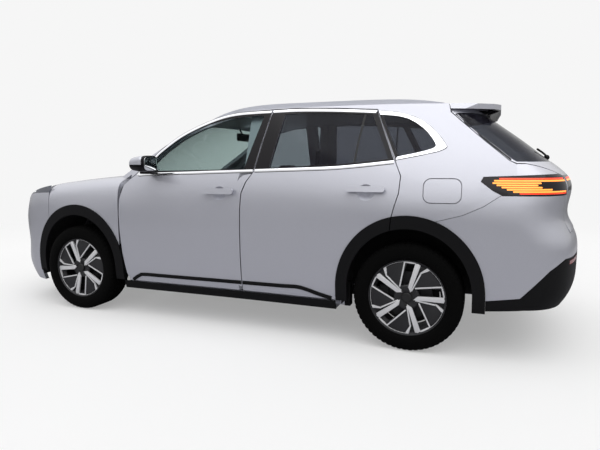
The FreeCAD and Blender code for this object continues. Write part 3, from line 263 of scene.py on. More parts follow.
@dataclass(frozen=True)
class Weave(Look):
    """Woven or stitched cover cloth with a thread pattern at its real spacing."""

    name: str
    colour: str
    second: str
    thread_mm: float = 4.0

    def build(self) -> bpy.types.Material:
        """Builds the cloth's nodes.

        Returns:
            The material.
        """
        material, tree, out = blank(self.name)
        place = add(tree, "ShaderNodeTexCoord").outputs["Object"]
        waves = [add(tree, "ShaderNodeTexWave",
                     {"Vector": place, "Scale": 1 / (self.thread_mm * MM * 6)}, bands_direction=way)
                 for way in ("Y", "Z")]
        cross = add(tree, "ShaderNodeMath", {0: waves[0].outputs["Fac"], 1: waves[1].outputs["Fac"]},
                    operation="MULTIPLY")
        mix = add(tree, "ShaderNodeMix", {0: cross.outputs[0], 6: linear(self.colour),
                                          7: linear(self.second)}, data_type="RGBA")
        relief = add(tree, "ShaderNodeBump", {"Height": cross.outputs[0], "Strength": 0.3,
                                              "Distance": 0.0008})
        shader = add(tree, "ShaderNodeBsdfPrincipled",
                     {"Base Color": mix.outputs[2], "Roughness": 0.85, "Sheen Weight": 0.15,
                      "Normal": relief.outputs[0]})
        tree.links.new(shader.outputs[0], out.inputs[0])
        return material


PAINT = MetallicPaint()
# Grained polypropylene: matt black with a fine leather-like grain
CLADDING = Finish("grained_black_plastic", "09090b", "101012", 0.62, grain_mm=1.6,
                  bump=0.25, ior=1.25)
# Piano-black acrylic: deep black and mirror smooth
PIANO_BLACK = Finish("gloss_black_plastic", "0d0a0f", "120f14", 0.14, rough_change=0.02, ior=1.3)
# Bright anodised aluminium strip
BRIGHT = Finish("bright_anodised_strip", "e9eaee", "f4f5f8", 0.13, metallic=1.0,
                rough_change=0.02)
# Satin anodised aluminium of the roof rails
SATIN = Finish("satin_anodised_rail", "d6d8e2", "e0e2ea", 0.42, metallic=0.25)
# Diamond-turned alloy face: bright with a soft lathe sheen
TURNED = Finish("turned_alloy_face", "e6e6e8", "f4f4f5", 0.34, metallic=0.45, grain_mm=0.8)
# Dark grey baked enamel on the wheel panels
WHEEL_GREY = Finish("dark_wheel_enamel", "222224", "2b2b2e", 0.45, metallic=0.25)
# Black baked enamel deep in the wheel
WHEEL_BLACK = Finish("black_wheel_enamel", "0c0c0d", "121213", 0.5)
# Carbon-black tyre rubber
RUBBER = Finish("carbon_black_tyre_rubber", "030303", "060606", 0.9, grain_mm=1.0,
                bump=0.15, ior=1.18)
# Soft black rubber of the window seals
SEAL = Finish("rubber_seal", "070708", "0c0c0d", 0.6)
# Machined grey cast iron of brake disc and engine
CAST = Finish("cast_iron_disc", "2c2c2e", "38383a", 0.5, metallic=0.6, grain_mm=1.0)
# Electro-dipped black coating of steel below the body
CHASSIS = Finish("black_dip_coating", "101012", "18181a", 0.7, grain_mm=3.0, bump=0.1)
# Soft-touch polypropylene of the cabin
TRIM = Finish("soft_touch_trim", "1a1a1d", "232326", 0.75, grain_mm=1.2, bump=0.2)
# Needle-pressed felt of the arch liners
LINER = Finish("pressed_felt", "0b0b0c", "111112", 0.95, grain_mm=2.0, bump=0.3)
# Smoked polycarbonate of the tail lamps
LAMP_SMOKE = Finish("smoked_lamp_cover", "0d0810", "140c14", 0.10, coat=0.15,
                    rough_change=0.02, ior=1.3)
# Clear polycarbonate over the grey bowl of the headlamps
LAMP_CLEAR = Finish("clear_lamp_cover", "34353c", "6a6d78", 0.08, coat=0.5, rough_change=0.02)
# Light guides, lit red, lit amber and faintly white
LAMP_RED = Finish("lit_red_light_guide", "ff2a12", "ff4a20", 0.2, emission=1.1)
LAMP_AMBER = Finish("lit_amber_light_guide", "ff8a2a", "ffa84a", 0.2, emission=1.25)
LAMP_WHITE = Finish("white_light_guide", "f2f5fa", "ffffff", 0.15, emission=0.35)
# Moulded red acrylic prisms of the reflectors
REFLECTOR = Finish("red_reflex_reflector", "7c0f0a", "9a1812", 0.25, grain_mm=3.0,
                   bump=0.4, coat=0.4)
# Green float glass in front, dyed privacy glass behind
CLEAR = Glazing("clear_green_glass", "e6edec", share=0.05)
SCREEN = Glazing("windscreen_glass", "e6edec", share=0.05)
PRIVACY = Glazing("dark_privacy_glass", "c2c5ca", mirror="3a3742", share=0.16)
# Woven polyester of seats and belts
CLOTH = Weave("seat_cover_cloth", "1b1b1e", "2c2c30")
BELT = Weave("belt_webbing", "141416", "1f1f22", 2.0)
# Silvered mirror glass
MIRROR = Finish("silvered_mirror", "f0f2f4", "f6f7f8", 0.02, metallic=1.0, rough_change=0.01)


# ---- Mesh helpers


def finish(mesh: bmesh.types.BMesh, name: str, look: Look, body: str,
           smooth: float = 35.0) -> bpy.types.Object:
    """Turns a built mesh into a piece that rides on a body.

    Args:
        mesh: The built mesh, which is freed.
        name: The piece's name.
        look: The piece's finish.
        body: The body it rides on.
        smooth: Edges under this angle, in degrees, shade smooth.

    Returns:
        The object.
    """
    data = bpy.data.meshes.new(name)
    mesh.normal_update()
    mesh.to_mesh(data)
    mesh.free()
    piece = bpy.data.objects.new(name, data)
    bpy.context.scene.collection.objects.link(piece)
    data.materials.append(look.make())
    data.set_sharp_from_angle(angle=math.radians(smooth))
    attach(piece, body)
    return piece


def turned(profile: Sequence[Point], steps: int = 96) -> bmesh.types.BMesh:
    """A ring turned about the Y axis from a closed profile.

    Args:
        profile: (radius, y) points of a closed outline, in metres.
        steps: Segments of the full turn.

    Returns:
        The closed mesh about the Y axis.
    """
    mesh = bmesh.new()
    corners = [mesh.verts.new((r, y, 0.0)) for r, y in profile]
    edges = [mesh.edges.new((corners[i], corners[(i + 1) % len(corners)])) for i in range(len(corners))]
    bmesh.ops.spin(mesh, geom=corners + edges, cent=(0, 0, 0), axis=(0, 1, 0), angle=math.tau,
                   steps=steps, use_merge=True, use_duplicate=False)
    bmesh.ops.remove_doubles(mesh, verts=mesh.verts, dist=1e-6)
    bmesh.ops.recalc_face_normals(mesh, faces=mesh.faces)
    return mesh


def plate(points: Sequence[Point], low: float, high: float, bevel: float = 0.0) -> bmesh.types.BMesh:
    """A flat plate in the XZ plane between two depths, with eased outer edges.

    Args:
        points: (x, z) corners, in metres.
        low: Inner y.
        high: Outer y.
        bevel: Width of the eased edge, or none.

    Returns:
        The closed mesh.
    """
    mesh = bmesh.new()
    face = mesh.faces.new([mesh.verts.new((x, low, z)) for x, z in points])
    made = bmesh.ops.extrude_face_region(mesh, geom=[face])
    top = [g for g in made["geom"] if isinstance(g, bmesh.types.BMVert)]
    bmesh.ops.translate(mesh, verts=top, vec=(0, high - low, 0))
    bmesh.ops.recalc_face_normals(mesh, faces=mesh.faces)
    if bevel:
        rim = [e for e in mesh.edges if all(abs(v.co.y - high) < 1e-7 for v in e.verts)]
        bmesh.ops.bevel(mesh, geom=rim, offset=bevel, affect="EDGES", segments=2, profile=0.5,
                        material=-1)
    return mesh


def joined(meshes: Iterable[bmesh.types.BMesh]) -> bmesh.types.BMesh:
    """Several meshes as one.

    Args:
        meshes: The meshes, which are freed.

    Returns:
        One mesh with all of them.
    """
    whole = bmesh.new()
    for part in meshes:
        data = bpy.data.meshes.new("joining")
        part.to_mesh(data)
        part.free()
        whole.from_mesh(data)
        bpy.data.meshes.remove(data)
    return whole


def rounded_box(low: Sequence[float], high: Sequence[float], radius: float,
                segments: int = 3) -> bmesh.types.BMesh:
    """A box with all its edges rounded.

    Args:
        low: Lowest corner.
        high: Highest corner.
        radius: Edge radius.
        segments: Segments round each edge.

    Returns:
        The closed mesh.
    """
    mesh = bmesh.new()
    bmesh.ops.create_cube(mesh, size=1.0)
    size = [h - l for l, h in zip(low, high)]
    middle = [(h + l) / 2 for l, h in zip(low, high)]
    bmesh.ops.scale(mesh, verts=mesh.verts, vec=size)
    bmesh.ops.translate(mesh, verts=mesh.verts, vec=middle)
    bmesh.ops.bevel(mesh, geom=mesh.edges[:], offset=radius, affect="EDGES", segments=segments,
                    profile=0.5, material=-1)
    return mesh


def bar_of(mesh: bmesh.types.BMesh, rows: Sequence[Sequence[bmesh.types.BMVert]]) -> bmesh.types.BMesh:
    """Joins rows of corners, each the outline of a section, into a bar closed at both ends.

    Args:
        mesh: The mesh that holds the corners.
        rows: The sections' corners in order, as many in each.

    Returns:
        The same mesh.
    """
    for a, b in zip(rows, rows[1:]):
        for k in range(len(a)):
            mesh.faces.new((a[k], a[(k + 1) % len(a)], b[(k + 1) % len(a)], b[k]))
    if rows:
        mesh.faces.new(rows[0])
        mesh.faces.new(list(reversed(rows[-1])))
    bmesh.ops.recalc_face_normals(mesh, faces=mesh.faces)
    return mesh


def rotated(mesh: bmesh.types.BMesh, angle: float, axis: str,
            pivot: Sequence[float] = (0, 0, 0)) -> bmesh.types.BMesh:
    """A mesh turned about a line through a point."""
    bmesh.ops.rotate(mesh, verts=mesh.verts, cent=pivot, matrix=Matrix.Rotation(angle, 3, axis))
    return mesh


def on_side(mesh: bmesh.types.BMesh, side: Side) -> bmesh.types.BMesh:
    """A mesh built on the left, mirrored if it belongs on the right."""
    bmesh.ops.scale(mesh, verts=mesh.verts, vec=(1, side.value, 1))
    bmesh.ops.recalc_face_normals(mesh, faces=mesh.faces)
    return mesh


def tube(path: Sequence[Vector], radius: float, sides: int = 10) -> bmesh.types.BMesh:
    """A round bar along a path, closed at both ends.

    Args:
        path: Points of the middle line.
        radius: The bar's radius.
        sides: Corners of its section.

    Returns:
        The closed mesh.
    """
    mesh = bmesh.new()
    rings = []
    for i, point in enumerate(path):
        way = (path[min(i + 1, len(path) - 1)] - path[max(i - 1, 0)]).normalized()
        turn = way.to_track_quat("Z", "Y").to_matrix()
        around = [math.tau * k / sides for k in range(sides)]
        rings.append([mesh.verts.new(point + turn @ Vector((math.cos(a), math.sin(a), 0)) * radius)
                      for a in around])
    return bar_of(mesh, rings)


def smooth_line(points: Sequence[Point], step: float = 0.02) -> list[Point]:
    """A smooth line through points in a plane, evenly stepped.

    Args:
        points: The points it passes through.
        step: Distance between the points given back.

    Returns:
        The points of the line.
    """
    line = []
    count = len(points)
    for i in range(count - 1):
        p0, p1 = points[max(i - 1, 0)], points[i]
        p2, p3 = points[i + 1], points[min(i + 2, count - 1)]
        parts = max(1, int(math.dist(p1, p2) / step))
        for k in range(parts):
            t = k / parts
            line.append(tuple(0.5 * (2 * b + (c - a) * t + (2 * a - 5 * b + 4 * c - d) * t * t
                                     + (3 * b - a - 3 * c + d) * t ** 3)
                              for a, b, c, d in zip(p0, p1, p2, p3)))
    return line + [tuple(points[-1])]


def spline(points: Sequence[Point]) -> Callable[[float], float]:
    """A natural cubic spline through (t, value) points, straight past its ends.

    Args:
        points: The points, in rising t.

    Returns:
        The curve as a function of t.
    """
    ts, vs = [p[0] for p in points], [p[1] for p in points]
    count = len(points)
    spans = [b - a for a, b in zip(ts, ts[1:])]
    slopes = [(b - a) / s for a, b, s in zip(vs, vs[1:], spans)]
    share, load, bend = [0.0] * count, [0.0] * count, [0.0] * count
    for i in range(1, count - 1):
        weight = 2 * (ts[i + 1] - ts[i - 1]) - spans[i - 1] * share[i - 1]
        share[i] = spans[i] / weight
        load[i] = (3 * (slopes[i] - slopes[i - 1]) - spans[i - 1] * load[i - 1]) / weight
    for i in range(count - 2, 0, -1):
        bend[i] = load[i] - share[i] * bend[i + 1]

    def piece(i: int, t: float) -> tuple[float, float]:
        s = t - ts[i]
        turn = (bend[i + 1] - bend[i]) / (3 * spans[i])
        start = slopes[i] - spans[i] * (bend[i + 1] + 2 * bend[i]) / 3
        return vs[i] + start * s + bend[i] * s * s + turn * s ** 3, start

    def value(t: float) -> float:
        if t < ts[0]:
            return vs[0] + piece(0, ts[0])[1] * (t - ts[0])
        return piece(max(k for k in range(count - 1) if ts[k] <= t), t)[0]

    return value


class SideForm:
    """The smooth side of the car that all side panels share, in millimetres."""

    width = spline([(-2400, 884), (-2000, 914), (-1290, 938), (0, 931), (1465, 937), (1800, 914),
                    (2100, 872), (2400, 812)])
    draw = spline([(180, 66), (300, 27), (420, 13), (600, 5), (800, 0), (950, 4), (1100, 17),
                   (1240, 48), (1500, 150)])
    cabin = spline([(-2100, 830), (-1300, 886), (-600, 903), (200, 907), (1250, 868)])
    belt = 1180.0
    lean = 0.44
    bow = 0.00012
    blend = 70.0

    @classmethod
    def half_width(cls, x: float, z: float) -> float:
        """Half width of the body at a station and height.

        Args:
            x: Station along the car, in millimetres.
            z: Height, in millimetres.

        Returns:
            The half width, in millimetres.
        """
        haunch = 10.0 * math.exp(-((x + 1290) / 480) ** 2 - ((z - 960) / 130) ** 2)
        lower = cls.width(x) - cls.draw(z) + haunch
        above = z - cls.belt
        upper = cls.cabin(x) - cls.lean * above - cls.bow * above * abs(above)
        near = max(cls.blend - abs(lower - upper), 0.0) / cls.blend
        return min(lower, upper) - near * near * cls.blend / 4

    @classmethod
    def caster(cls, side: Side) -> Callable[[float, float], tuple[Vector, Vector]]:
        """Lays points of one side's view onto the side.

        Args:
            side: The side of the car.

        Returns:
            Gives the surface point, in metres, and the normal for (x, z) in millimetres.
        """

        def cast(x: float, z: float) -> tuple[Vector, Vector]:
            here = cls.half_width(x, z)
            along = (cls.half_width(x + 2, z) - cls.half_width(x - 2, z)) / 4
            up = (cls.half_width(x, z + 2) - cls.half_width(x, z - 2)) / 4
            normal = Vector((-along, 1.0, -up)).normalized()
            normal.y *= side.value
            return Vector((x, here * side.value, z)) * MM, normal

        return cast


def inset(line: Sequence[Point], by: float) -> list[Point]:
    """An open line moved to its left by a distance.

    Args:
        line: The points.
        by: The distance to the left of the way along the line.

    Returns:
        The moved points.
    """
    moved = []
    for i, (a, b) in enumerate(line):
        before, after = line[max(i - 1, 0)], line[min(i + 1, len(line) - 1)]
        length = math.hypot(after[0] - before[0], after[1] - before[1])
        moved.append((a - (after[1] - before[1]) / length * by,
                      b + (after[0] - before[0]) / length * by))
    return moved


class Skin:
    """The outer surface of some CAD nodes at rest, found by casting rays onto it."""

    def __init__(self, *nodes: str) -> None:
        """Collects the triangles of the nodes.

        Args:
            nodes: Names of the CAD nodes.
        """
        verts: list[Vector] = []
        faces: list[tuple[int, ...]] = []
        for name in nodes:
            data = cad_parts[name].data
            start = len(verts)
            verts += [v.co.copy() for v in data.vertices]
            faces += [tuple(start + i for i in p.vertices) for p in data.polygons]
        self.tree = BVHTree.FromPolygons(verts, faces)

    def hit(self, origin: Vector, way: Vector) -> tuple[Vector, Vector] | None:
        """The first point that a ray meets, with the normal turned to face the ray.

        Args:
            origin: Where the ray starts.
            way: Its direction.

        Returns:
            The point and the normal, or nothing where the ray misses.
        """
        point, normal, _, _ = self.tree.ray_cast(origin, way)
        if point is None:
            return None
        return point, normal if normal.dot(way) < 0 else -normal

    def side(self, x: float, z: float, side: Side) -> tuple[Vector, Vector] | None:
        """The side surface at a station and height."""
        return self.hit(Vector((x, 1.5 * side.value, z)), Vector((0, -side.value, 0)))

    def plan(self, axis_x: float, angle: float, z: float) -> tuple[Vector, Vector] | None:
        """The surface towards an upright line, from an angle in plan."""
        way = Vector((math.cos(angle), math.sin(angle), 0))
        return self.hit(Vector((axis_x, 0, z)) + way * 3, -way)


Caster = Callable[[float, float], tuple[Vector, Vector] | None]
Strip = tuple[list[Point], float]


def ribbon(line: Sequence[Point], width: float | Callable[[float], float], cast: Caster, proud: float,
           sink: float, crown: float = 0.0) -> bmesh.types.BMesh:
    """A strip that follows a line on a surface, with a slightly crowned face.

    Args:
        line: The middle line, as the two values that cast takes.
        width: The strip's width, or a function of the share along the line.
        cast: Gives the surface point and normal.
        proud: How far the face stands out.
        sink: How far the foot reaches in.
        crown: Extra height in the middle.

    Returns:
        The closed mesh.
    """
    mesh = bmesh.new()
    rows = []
    count = len(line)
    last: tuple[Vector, Vector] | None = None
    for i, (a, b) in enumerate(line):
        before, after = line[max(i - 1, 0)], line[min(i + 1, count - 1)]
        length = math.hypot(after[0] - before[0], after[1] - before[1]) or 1.0
        across = (-(after[1] - before[1]) / length, (after[0] - before[0]) / length)
        span = (width(i / max(count - 1, 1)) if callable(width) else width) / 2
        row = []
        for share in (-1.0, -0.55, 0.0, 0.55, 1.0):
            found = cast(a + across[0] * span * share, b + across[1] * span * share) or last
            if found is None:
                continue
            last = found
            point, normal = found
            row.append((point, normal, proud + crown * (1 - share * share)))
        if len(row) == 5:
            rows.append(row)
    rings = []
    for row in rows:
        top = [mesh.verts.new(p + n * h) for p, n, h in row]
        foot = [mesh.verts.new(p - n * sink) for p, n, _ in (row[-1], row[0])]
        rings.append(top + foot)
    return bar_of(mesh, rings)


def cover(outer: Sequence[Point], holes: Sequence[Sequence[Point]], cast: Caster, proud: float,
          thick: float, cell: float = 0.05) -> bmesh.types.BMesh:
    """A thin cover that lies on a surface within an outline.

    Args:
        outer: The outline, as the two values that cast takes.
        holes: Outlines left open.
        cast: Gives the surface point and normal.
        proud: How far the face stands out.
        thick: The cover's thickness.
        cell: Longest edge before it is laid on the surface.

    Returns:
        The closed mesh.
    """
    mesh = bmesh.new()
    for loop in [outer, *holes]:
        corners = [mesh.verts.new((a, 0.0, b)) for a, b in loop]
        for i in range(len(corners)):
            mesh.edges.new((corners[i], corners[(i + 1) % len(corners)]))
    bmesh.ops.triangle_fill(mesh, edges=mesh.edges[:], use_beauty=True, use_dissolve=False)
    for _ in range(SPLIT_ROUNDS):
        long = [e for e in mesh.edges if e.calc_length() > cell]
        if not long:
            break
        bmesh.ops.subdivide_edges(mesh, edges=long, cuts=1)
        bmesh.ops.triangulate(mesh, faces=[f for f in mesh.faces if len(f.verts) > 3])
    lost = []
    for v in mesh.verts:
        found = cast(v.co.x, v.co.z)
        if found is None:
            lost.append(v)
            continue
        v.co = found[0] + found[1] * proud
    bmesh.ops.delete(mesh, geom=lost, context="VERTS")
    bmesh.ops.recalc_face_normals(mesh, faces=mesh.faces)
    outward = [f for f in mesh.faces if f.normal.dot(Vector((0, f.calc_center_median().y, 0))) > 0]
    if len(outward) * 2 < len(mesh.faces):
        bmesh.ops.reverse_faces(mesh, faces=mesh.faces)
    made = bmesh.ops.extrude_face_region(mesh, geom=mesh.faces[:])
    moved = [g for g in made["geom"] if isinstance(g, bmesh.types.BMVert)]
    mesh.normal_update()
    normals = {v: v.normal.copy() for v in moved}
    for v in moved:
        v.co -= normals[v] * thick * (1 if normals[v].dot(Vector((0, v.co.y, 0))) > 0 else -1)
    bmesh.ops.recalc_face_normals(mesh, faces=mesh.faces)
    return mesh


# ---- Sub-assemblies


@dataclass
class Wheel:
    """One wheel: tyre with tread, rim with turned faces, brake disc, nuts and cap."""

    place: str
    axle_x: float
    side: Side
    turn: float
    tread_blocks: int = 60
    tread_half: float = 0.1075
    middle_rib: float = 0.03
    shoulder: float = 0.045
    groove_floor: float = 0.3515
    cuts: tuple[Point, ...] = ((0.09, 0.0065), (0.045, 0.0045), (-1.0, 0.0035))
    repeats: int = 5

    @property
    def body(self) -> str:
        """The body that the wheel's pieces ride on."""
        return f"wheel_{self.place}"

    def put(self, mesh: bmesh.types.BMesh) -> bmesh.types.BMesh:
        """Turns a mesh by the wheel's angle and moves it to the wheel's place.

        Args:
            mesh: The mesh, as seen from outside with +X to the right.

        Returns:
            The same mesh.
        """
        rotated(mesh, -self.turn, "Y")
        flip = (-1, 1, 1) if self.side is Side.LEFT else (1, -1, 1)
        bmesh.ops.scale(mesh, verts=mesh.verts, vec=flip)
        bmesh.ops.recalc_face_normals(mesh, faces=mesh.faces)
        bmesh.ops.translate(mesh, verts=mesh.verts, vec=(self.axle_x, 0, TYRE_RADIUS))
        return mesh

    def tyre(self) -> bpy.types.Object:
        """The tyre: a turned section with grooves, then cut across into blocks.

        Returns:
            The tyre, in the CAD tyre's place.
        """
        outer, inner = TYRE_OUTER, TYRE_OUTER - TYRE_WIDTH
        middle = (outer + inner) / 2
        near = [(0.009, 0.3587), (0.011, 0.3512), (0.020, 0.3512), (0.022, 0.3586), (0.048, 0.3584),
                (0.050, 0.3512), (0.058, 0.3512), (0.060, 0.3582), (0.062, 0.3582), (0.082, 0.3578),
                (0.099, 0.3520), (0.107, 0.3420), (0.1125, 0.3300), (0.1135, 0.3275),
                (0.1150, 0.3200), (0.1172, 0.3050), (0.1170, 0.2900), (0.1150, 0.2750),
                (0.1105, 0.2620), (0.1085, 0.2600), (0.1040, 0.2545), (0.0960, 0.2520)]
        far = [(-a, r) for a, r in reversed(near)]
        mesh = turned([(r, middle + a) for a, r in far + near], 240)
        block = math.tau / self.tread_blocks
        for v in mesh.verts:
            radius = math.hypot(v.co.x, v.co.z)
            across = abs(v.co.y - middle)
            if radius <= self.groove_floor or across > self.tread_half:
                continue
            slant = across if across > self.middle_rib else 0.0
            phase = ((math.atan2(v.co.z, v.co.x) + slant) / block) % 1.0
            cut = phase < 0.25 if across > self.shoulder else 0.5 < phase < 0.75
            if cut:
                drop = next(depth for start, depth in self.cuts if across > start)
                v.co.x *= (radius - drop) / radius
                v.co.z *= (radius - drop) / radius
        piece = finish(self.put(mesh), f"tyre_with_tread_{self.place}", RUBBER, self.body,
                       40)
        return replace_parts(piece, f"tyre_{self.place}")

    def spokes(self) -> tuple[bmesh.types.BMesh, bmesh.types.BMesh, bmesh.types.BMesh]:
        """The pattern of the wheel's face: dark petals, turned blades and black grooves.

        Returns:
            The dark, the bright and the black parts, with the first slot straight up.
        """
        sector = math.tau / self.repeats
        ring = 0.250
        face = 0.9020

        def at(radius: float, degrees: float) -> Point:
            angle = math.radians(degrees)
            return ring * radius * math.cos(angle), ring * radius * math.sin(angle)

        def arc(radius: float, start: float, end: float, count: int) -> list[Point]:
            return [at(radius, start + (end - start) * k / count) for k in range(count + 1)]

        bright_shapes = [
            ([at(0.33, 120), at(0.955, 92.6), at(0.955, 95.0), at(0.345, 126)], 0.0035),
            ([at(0.930, 92.6), at(0.930, 77), at(0.975, 76), *arc(0.985, 80, 95, 4)], 0.0035),
            ([at(0.29, 83), at(0.94, 77.2), at(0.965, 72.5), at(0.94, 68.4), at(0.18, 57)], 0.0055),
            ([at(0.215, 52), at(0.74, 60.4), at(0.765, 63.6), at(0.20, 60)], 0.0030),
            ([at(0.735, 62.6), at(0.765, 63.8), at(0.985, 57.5), at(0.985, 53.0), at(0.925, 53.6)],
             0.0042),
            ([*arc(0.955, 54.5, 15.5, 8), *arc(0.996, 15.0, 57.0, 8)], 0.0034),
        ]
        petal = [at(0.21, 50), at(0.74, 61.0), at(0.93, 54.5), *arc(0.965, 53.0, 17.5, 7),
                 at(0.345, 52.0)]
        groove = [at(0.20, 60), at(0.765, 63.8), at(0.985, 57.5), *arc(0.985, 59, 68, 3),
                  at(0.94, 68.4), at(0.18, 57)]
        dark, bright, black = [], [], []
        for k in range(self.repeats):
            bright += [rotated(plate(points, face - 0.007, face + rise, 0.0009), -sector * k, "Y")
                       for points, rise in bright_shapes]
            for points, low, high, store in ((petal, face - 0.016, face - 0.0015, dark),
                                             (groove, face - 0.030, face - 0.010, black)):
                store.append(rotated(plate(points, low, high, 0.001), -sector * k, "Y"))
        return joined(dark), joined(bright), joined(black)

    def rim(self) -> list[bpy.types.Object]:
        """The rim: barrel, hub, petals, blades and grooves.

        Returns:
            The rim's three pieces, the first in the CAD rim's place.
        """
        inner = TYRE_OUTER - TYRE_WIDTH
        barrel = turned([(0.241, inner + 0.023), (0.2515, inner + 0.018), (0.2515, inner + 0.009),
                         (0.2480, inner + 0.008), (0.2380, inner + 0.013), (0.2240, inner + 0.045),
                         (0.2130, inner + 0.070), (0.2130, 0.868), (0.2240, 0.882), (0.2330, 0.893),
                         (0.2400, 0.905), (0.2465, 0.914), (0.2512, 0.9150), (0.2512, 0.9100),
                         (0.2410, 0.905), (0.2330, 0.880), (0.2330, inner + 0.055)], 120)
        centre = turned([(0.030, 0.8620), (0.074, 0.8620), (0.084, 0.8700), (0.083, 0.8930),
                         (0.076, 0.8990), (0.056, 0.9000), (0.034, 0.8930), (0.030, 0.8930)], 60)
        dark, bright, black = self.spokes()
        body = finish(self.put(joined([barrel, centre, dark])), f"rim_enamel_{self.place}", WHEEL_GREY,
                      self.body, 30)
        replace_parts(body, f"rim_{self.place}")
        shine = finish(self.put(bright), f"rim_turned_faces_{self.place}", TURNED, self.body,
                       30)
        deep = finish(self.put(black), f"rim_grooves_{self.place}", WHEEL_BLACK, self.body,
                      30)
        return [body, shine, deep]

    def centre(self) -> list[bpy.types.Object]:
        """The plain cap and five nuts.

        Returns:
            The cap and the nuts.
        """
        cap = turned([(0.0, 0.8930), (0.031, 0.8930), (0.031, 0.9040), (0.028, 0.9070),
                      (0.0, 0.9080)], 48)
        nuts = []
        for k in range(self.repeats):
            angle = math.tau * (k + 0.5) / self.repeats + 0.25
            nut = bmesh.new()
            bmesh.ops.create_cone(nut, cap_ends=True, segments=6, radius1=0.0105, radius2=0.0095,
                                  depth=0.014, matrix=Matrix.Rotation(-math.pi / 2, 4, "X"))
            bmesh.ops.bevel(nut, geom=nut.edges[:], offset=0.0012, affect="EDGES", segments=2,
                            profile=0.5, material=-1)
            bmesh.ops.translate(nut, verts=nut.verts, vec=(0.052 * math.cos(angle), 0.899,
                                                           0.048 * math.sin(angle)))
            nuts.append(nut)
        return [finish(self.put(cap), f"wheel_cap_{self.place}", WHEEL_BLACK, self.body),
                finish(self.put(joined(nuts)), f"wheel_nuts_{self.place}", WHEEL_BLACK, self.body)]

    def brake(self) -> list[bpy.types.Object]:
        """The brake disc behind the spokes, with its caliper and splash shield on the hub carrier.

        Returns:
            The disc, the caliper and the shield.
        """
        disc = turned([(0.0635, 0.845), (0.066, 0.858), (0.075, 0.858), (0.078, 0.832), (0.160, 0.832),
                       (0.161, 0.822), (0.160, 0.808), (0.078, 0.808), (0.074, 0.845)], 96)
        pieces = [finish(self.put(disc), f"brake_disc_{self.place}", CAST, self.body)]
        carrier = f"knuckle_{self.side.word}" if self.axle_x > 0 else "body"
        middle = -0.158 if self.axle_x > 0 else 0.158
        caliper = rounded_box((middle - 0.034, 0.792, -0.060), (middle + 0.034, 0.846, 0.060), 0.010)
        caliper = on_side(caliper, self.side)
        bmesh.ops.translate(caliper, verts=caliper.verts, vec=(self.axle_x, 0, TYRE_RADIUS))
        pieces.append(finish(caliper, f"brake_caliper_{self.place}", CHASSIS, carrier))
        shield = turned([(0.080, 0.786), (0.200, 0.786), (0.200, 0.788), (0.080, 0.788)], 72)
        pieces.append(finish(self.put(shield), f"brake_shield_{self.place}", CHASSIS, carrier))
        return pieces

    def build(self) -> int:
        """Builds the wheel.

        Returns:
            How many pieces it has.
        """
        return len([self.tyre(), *self.rim(), *self.centre(), *self.brake()])


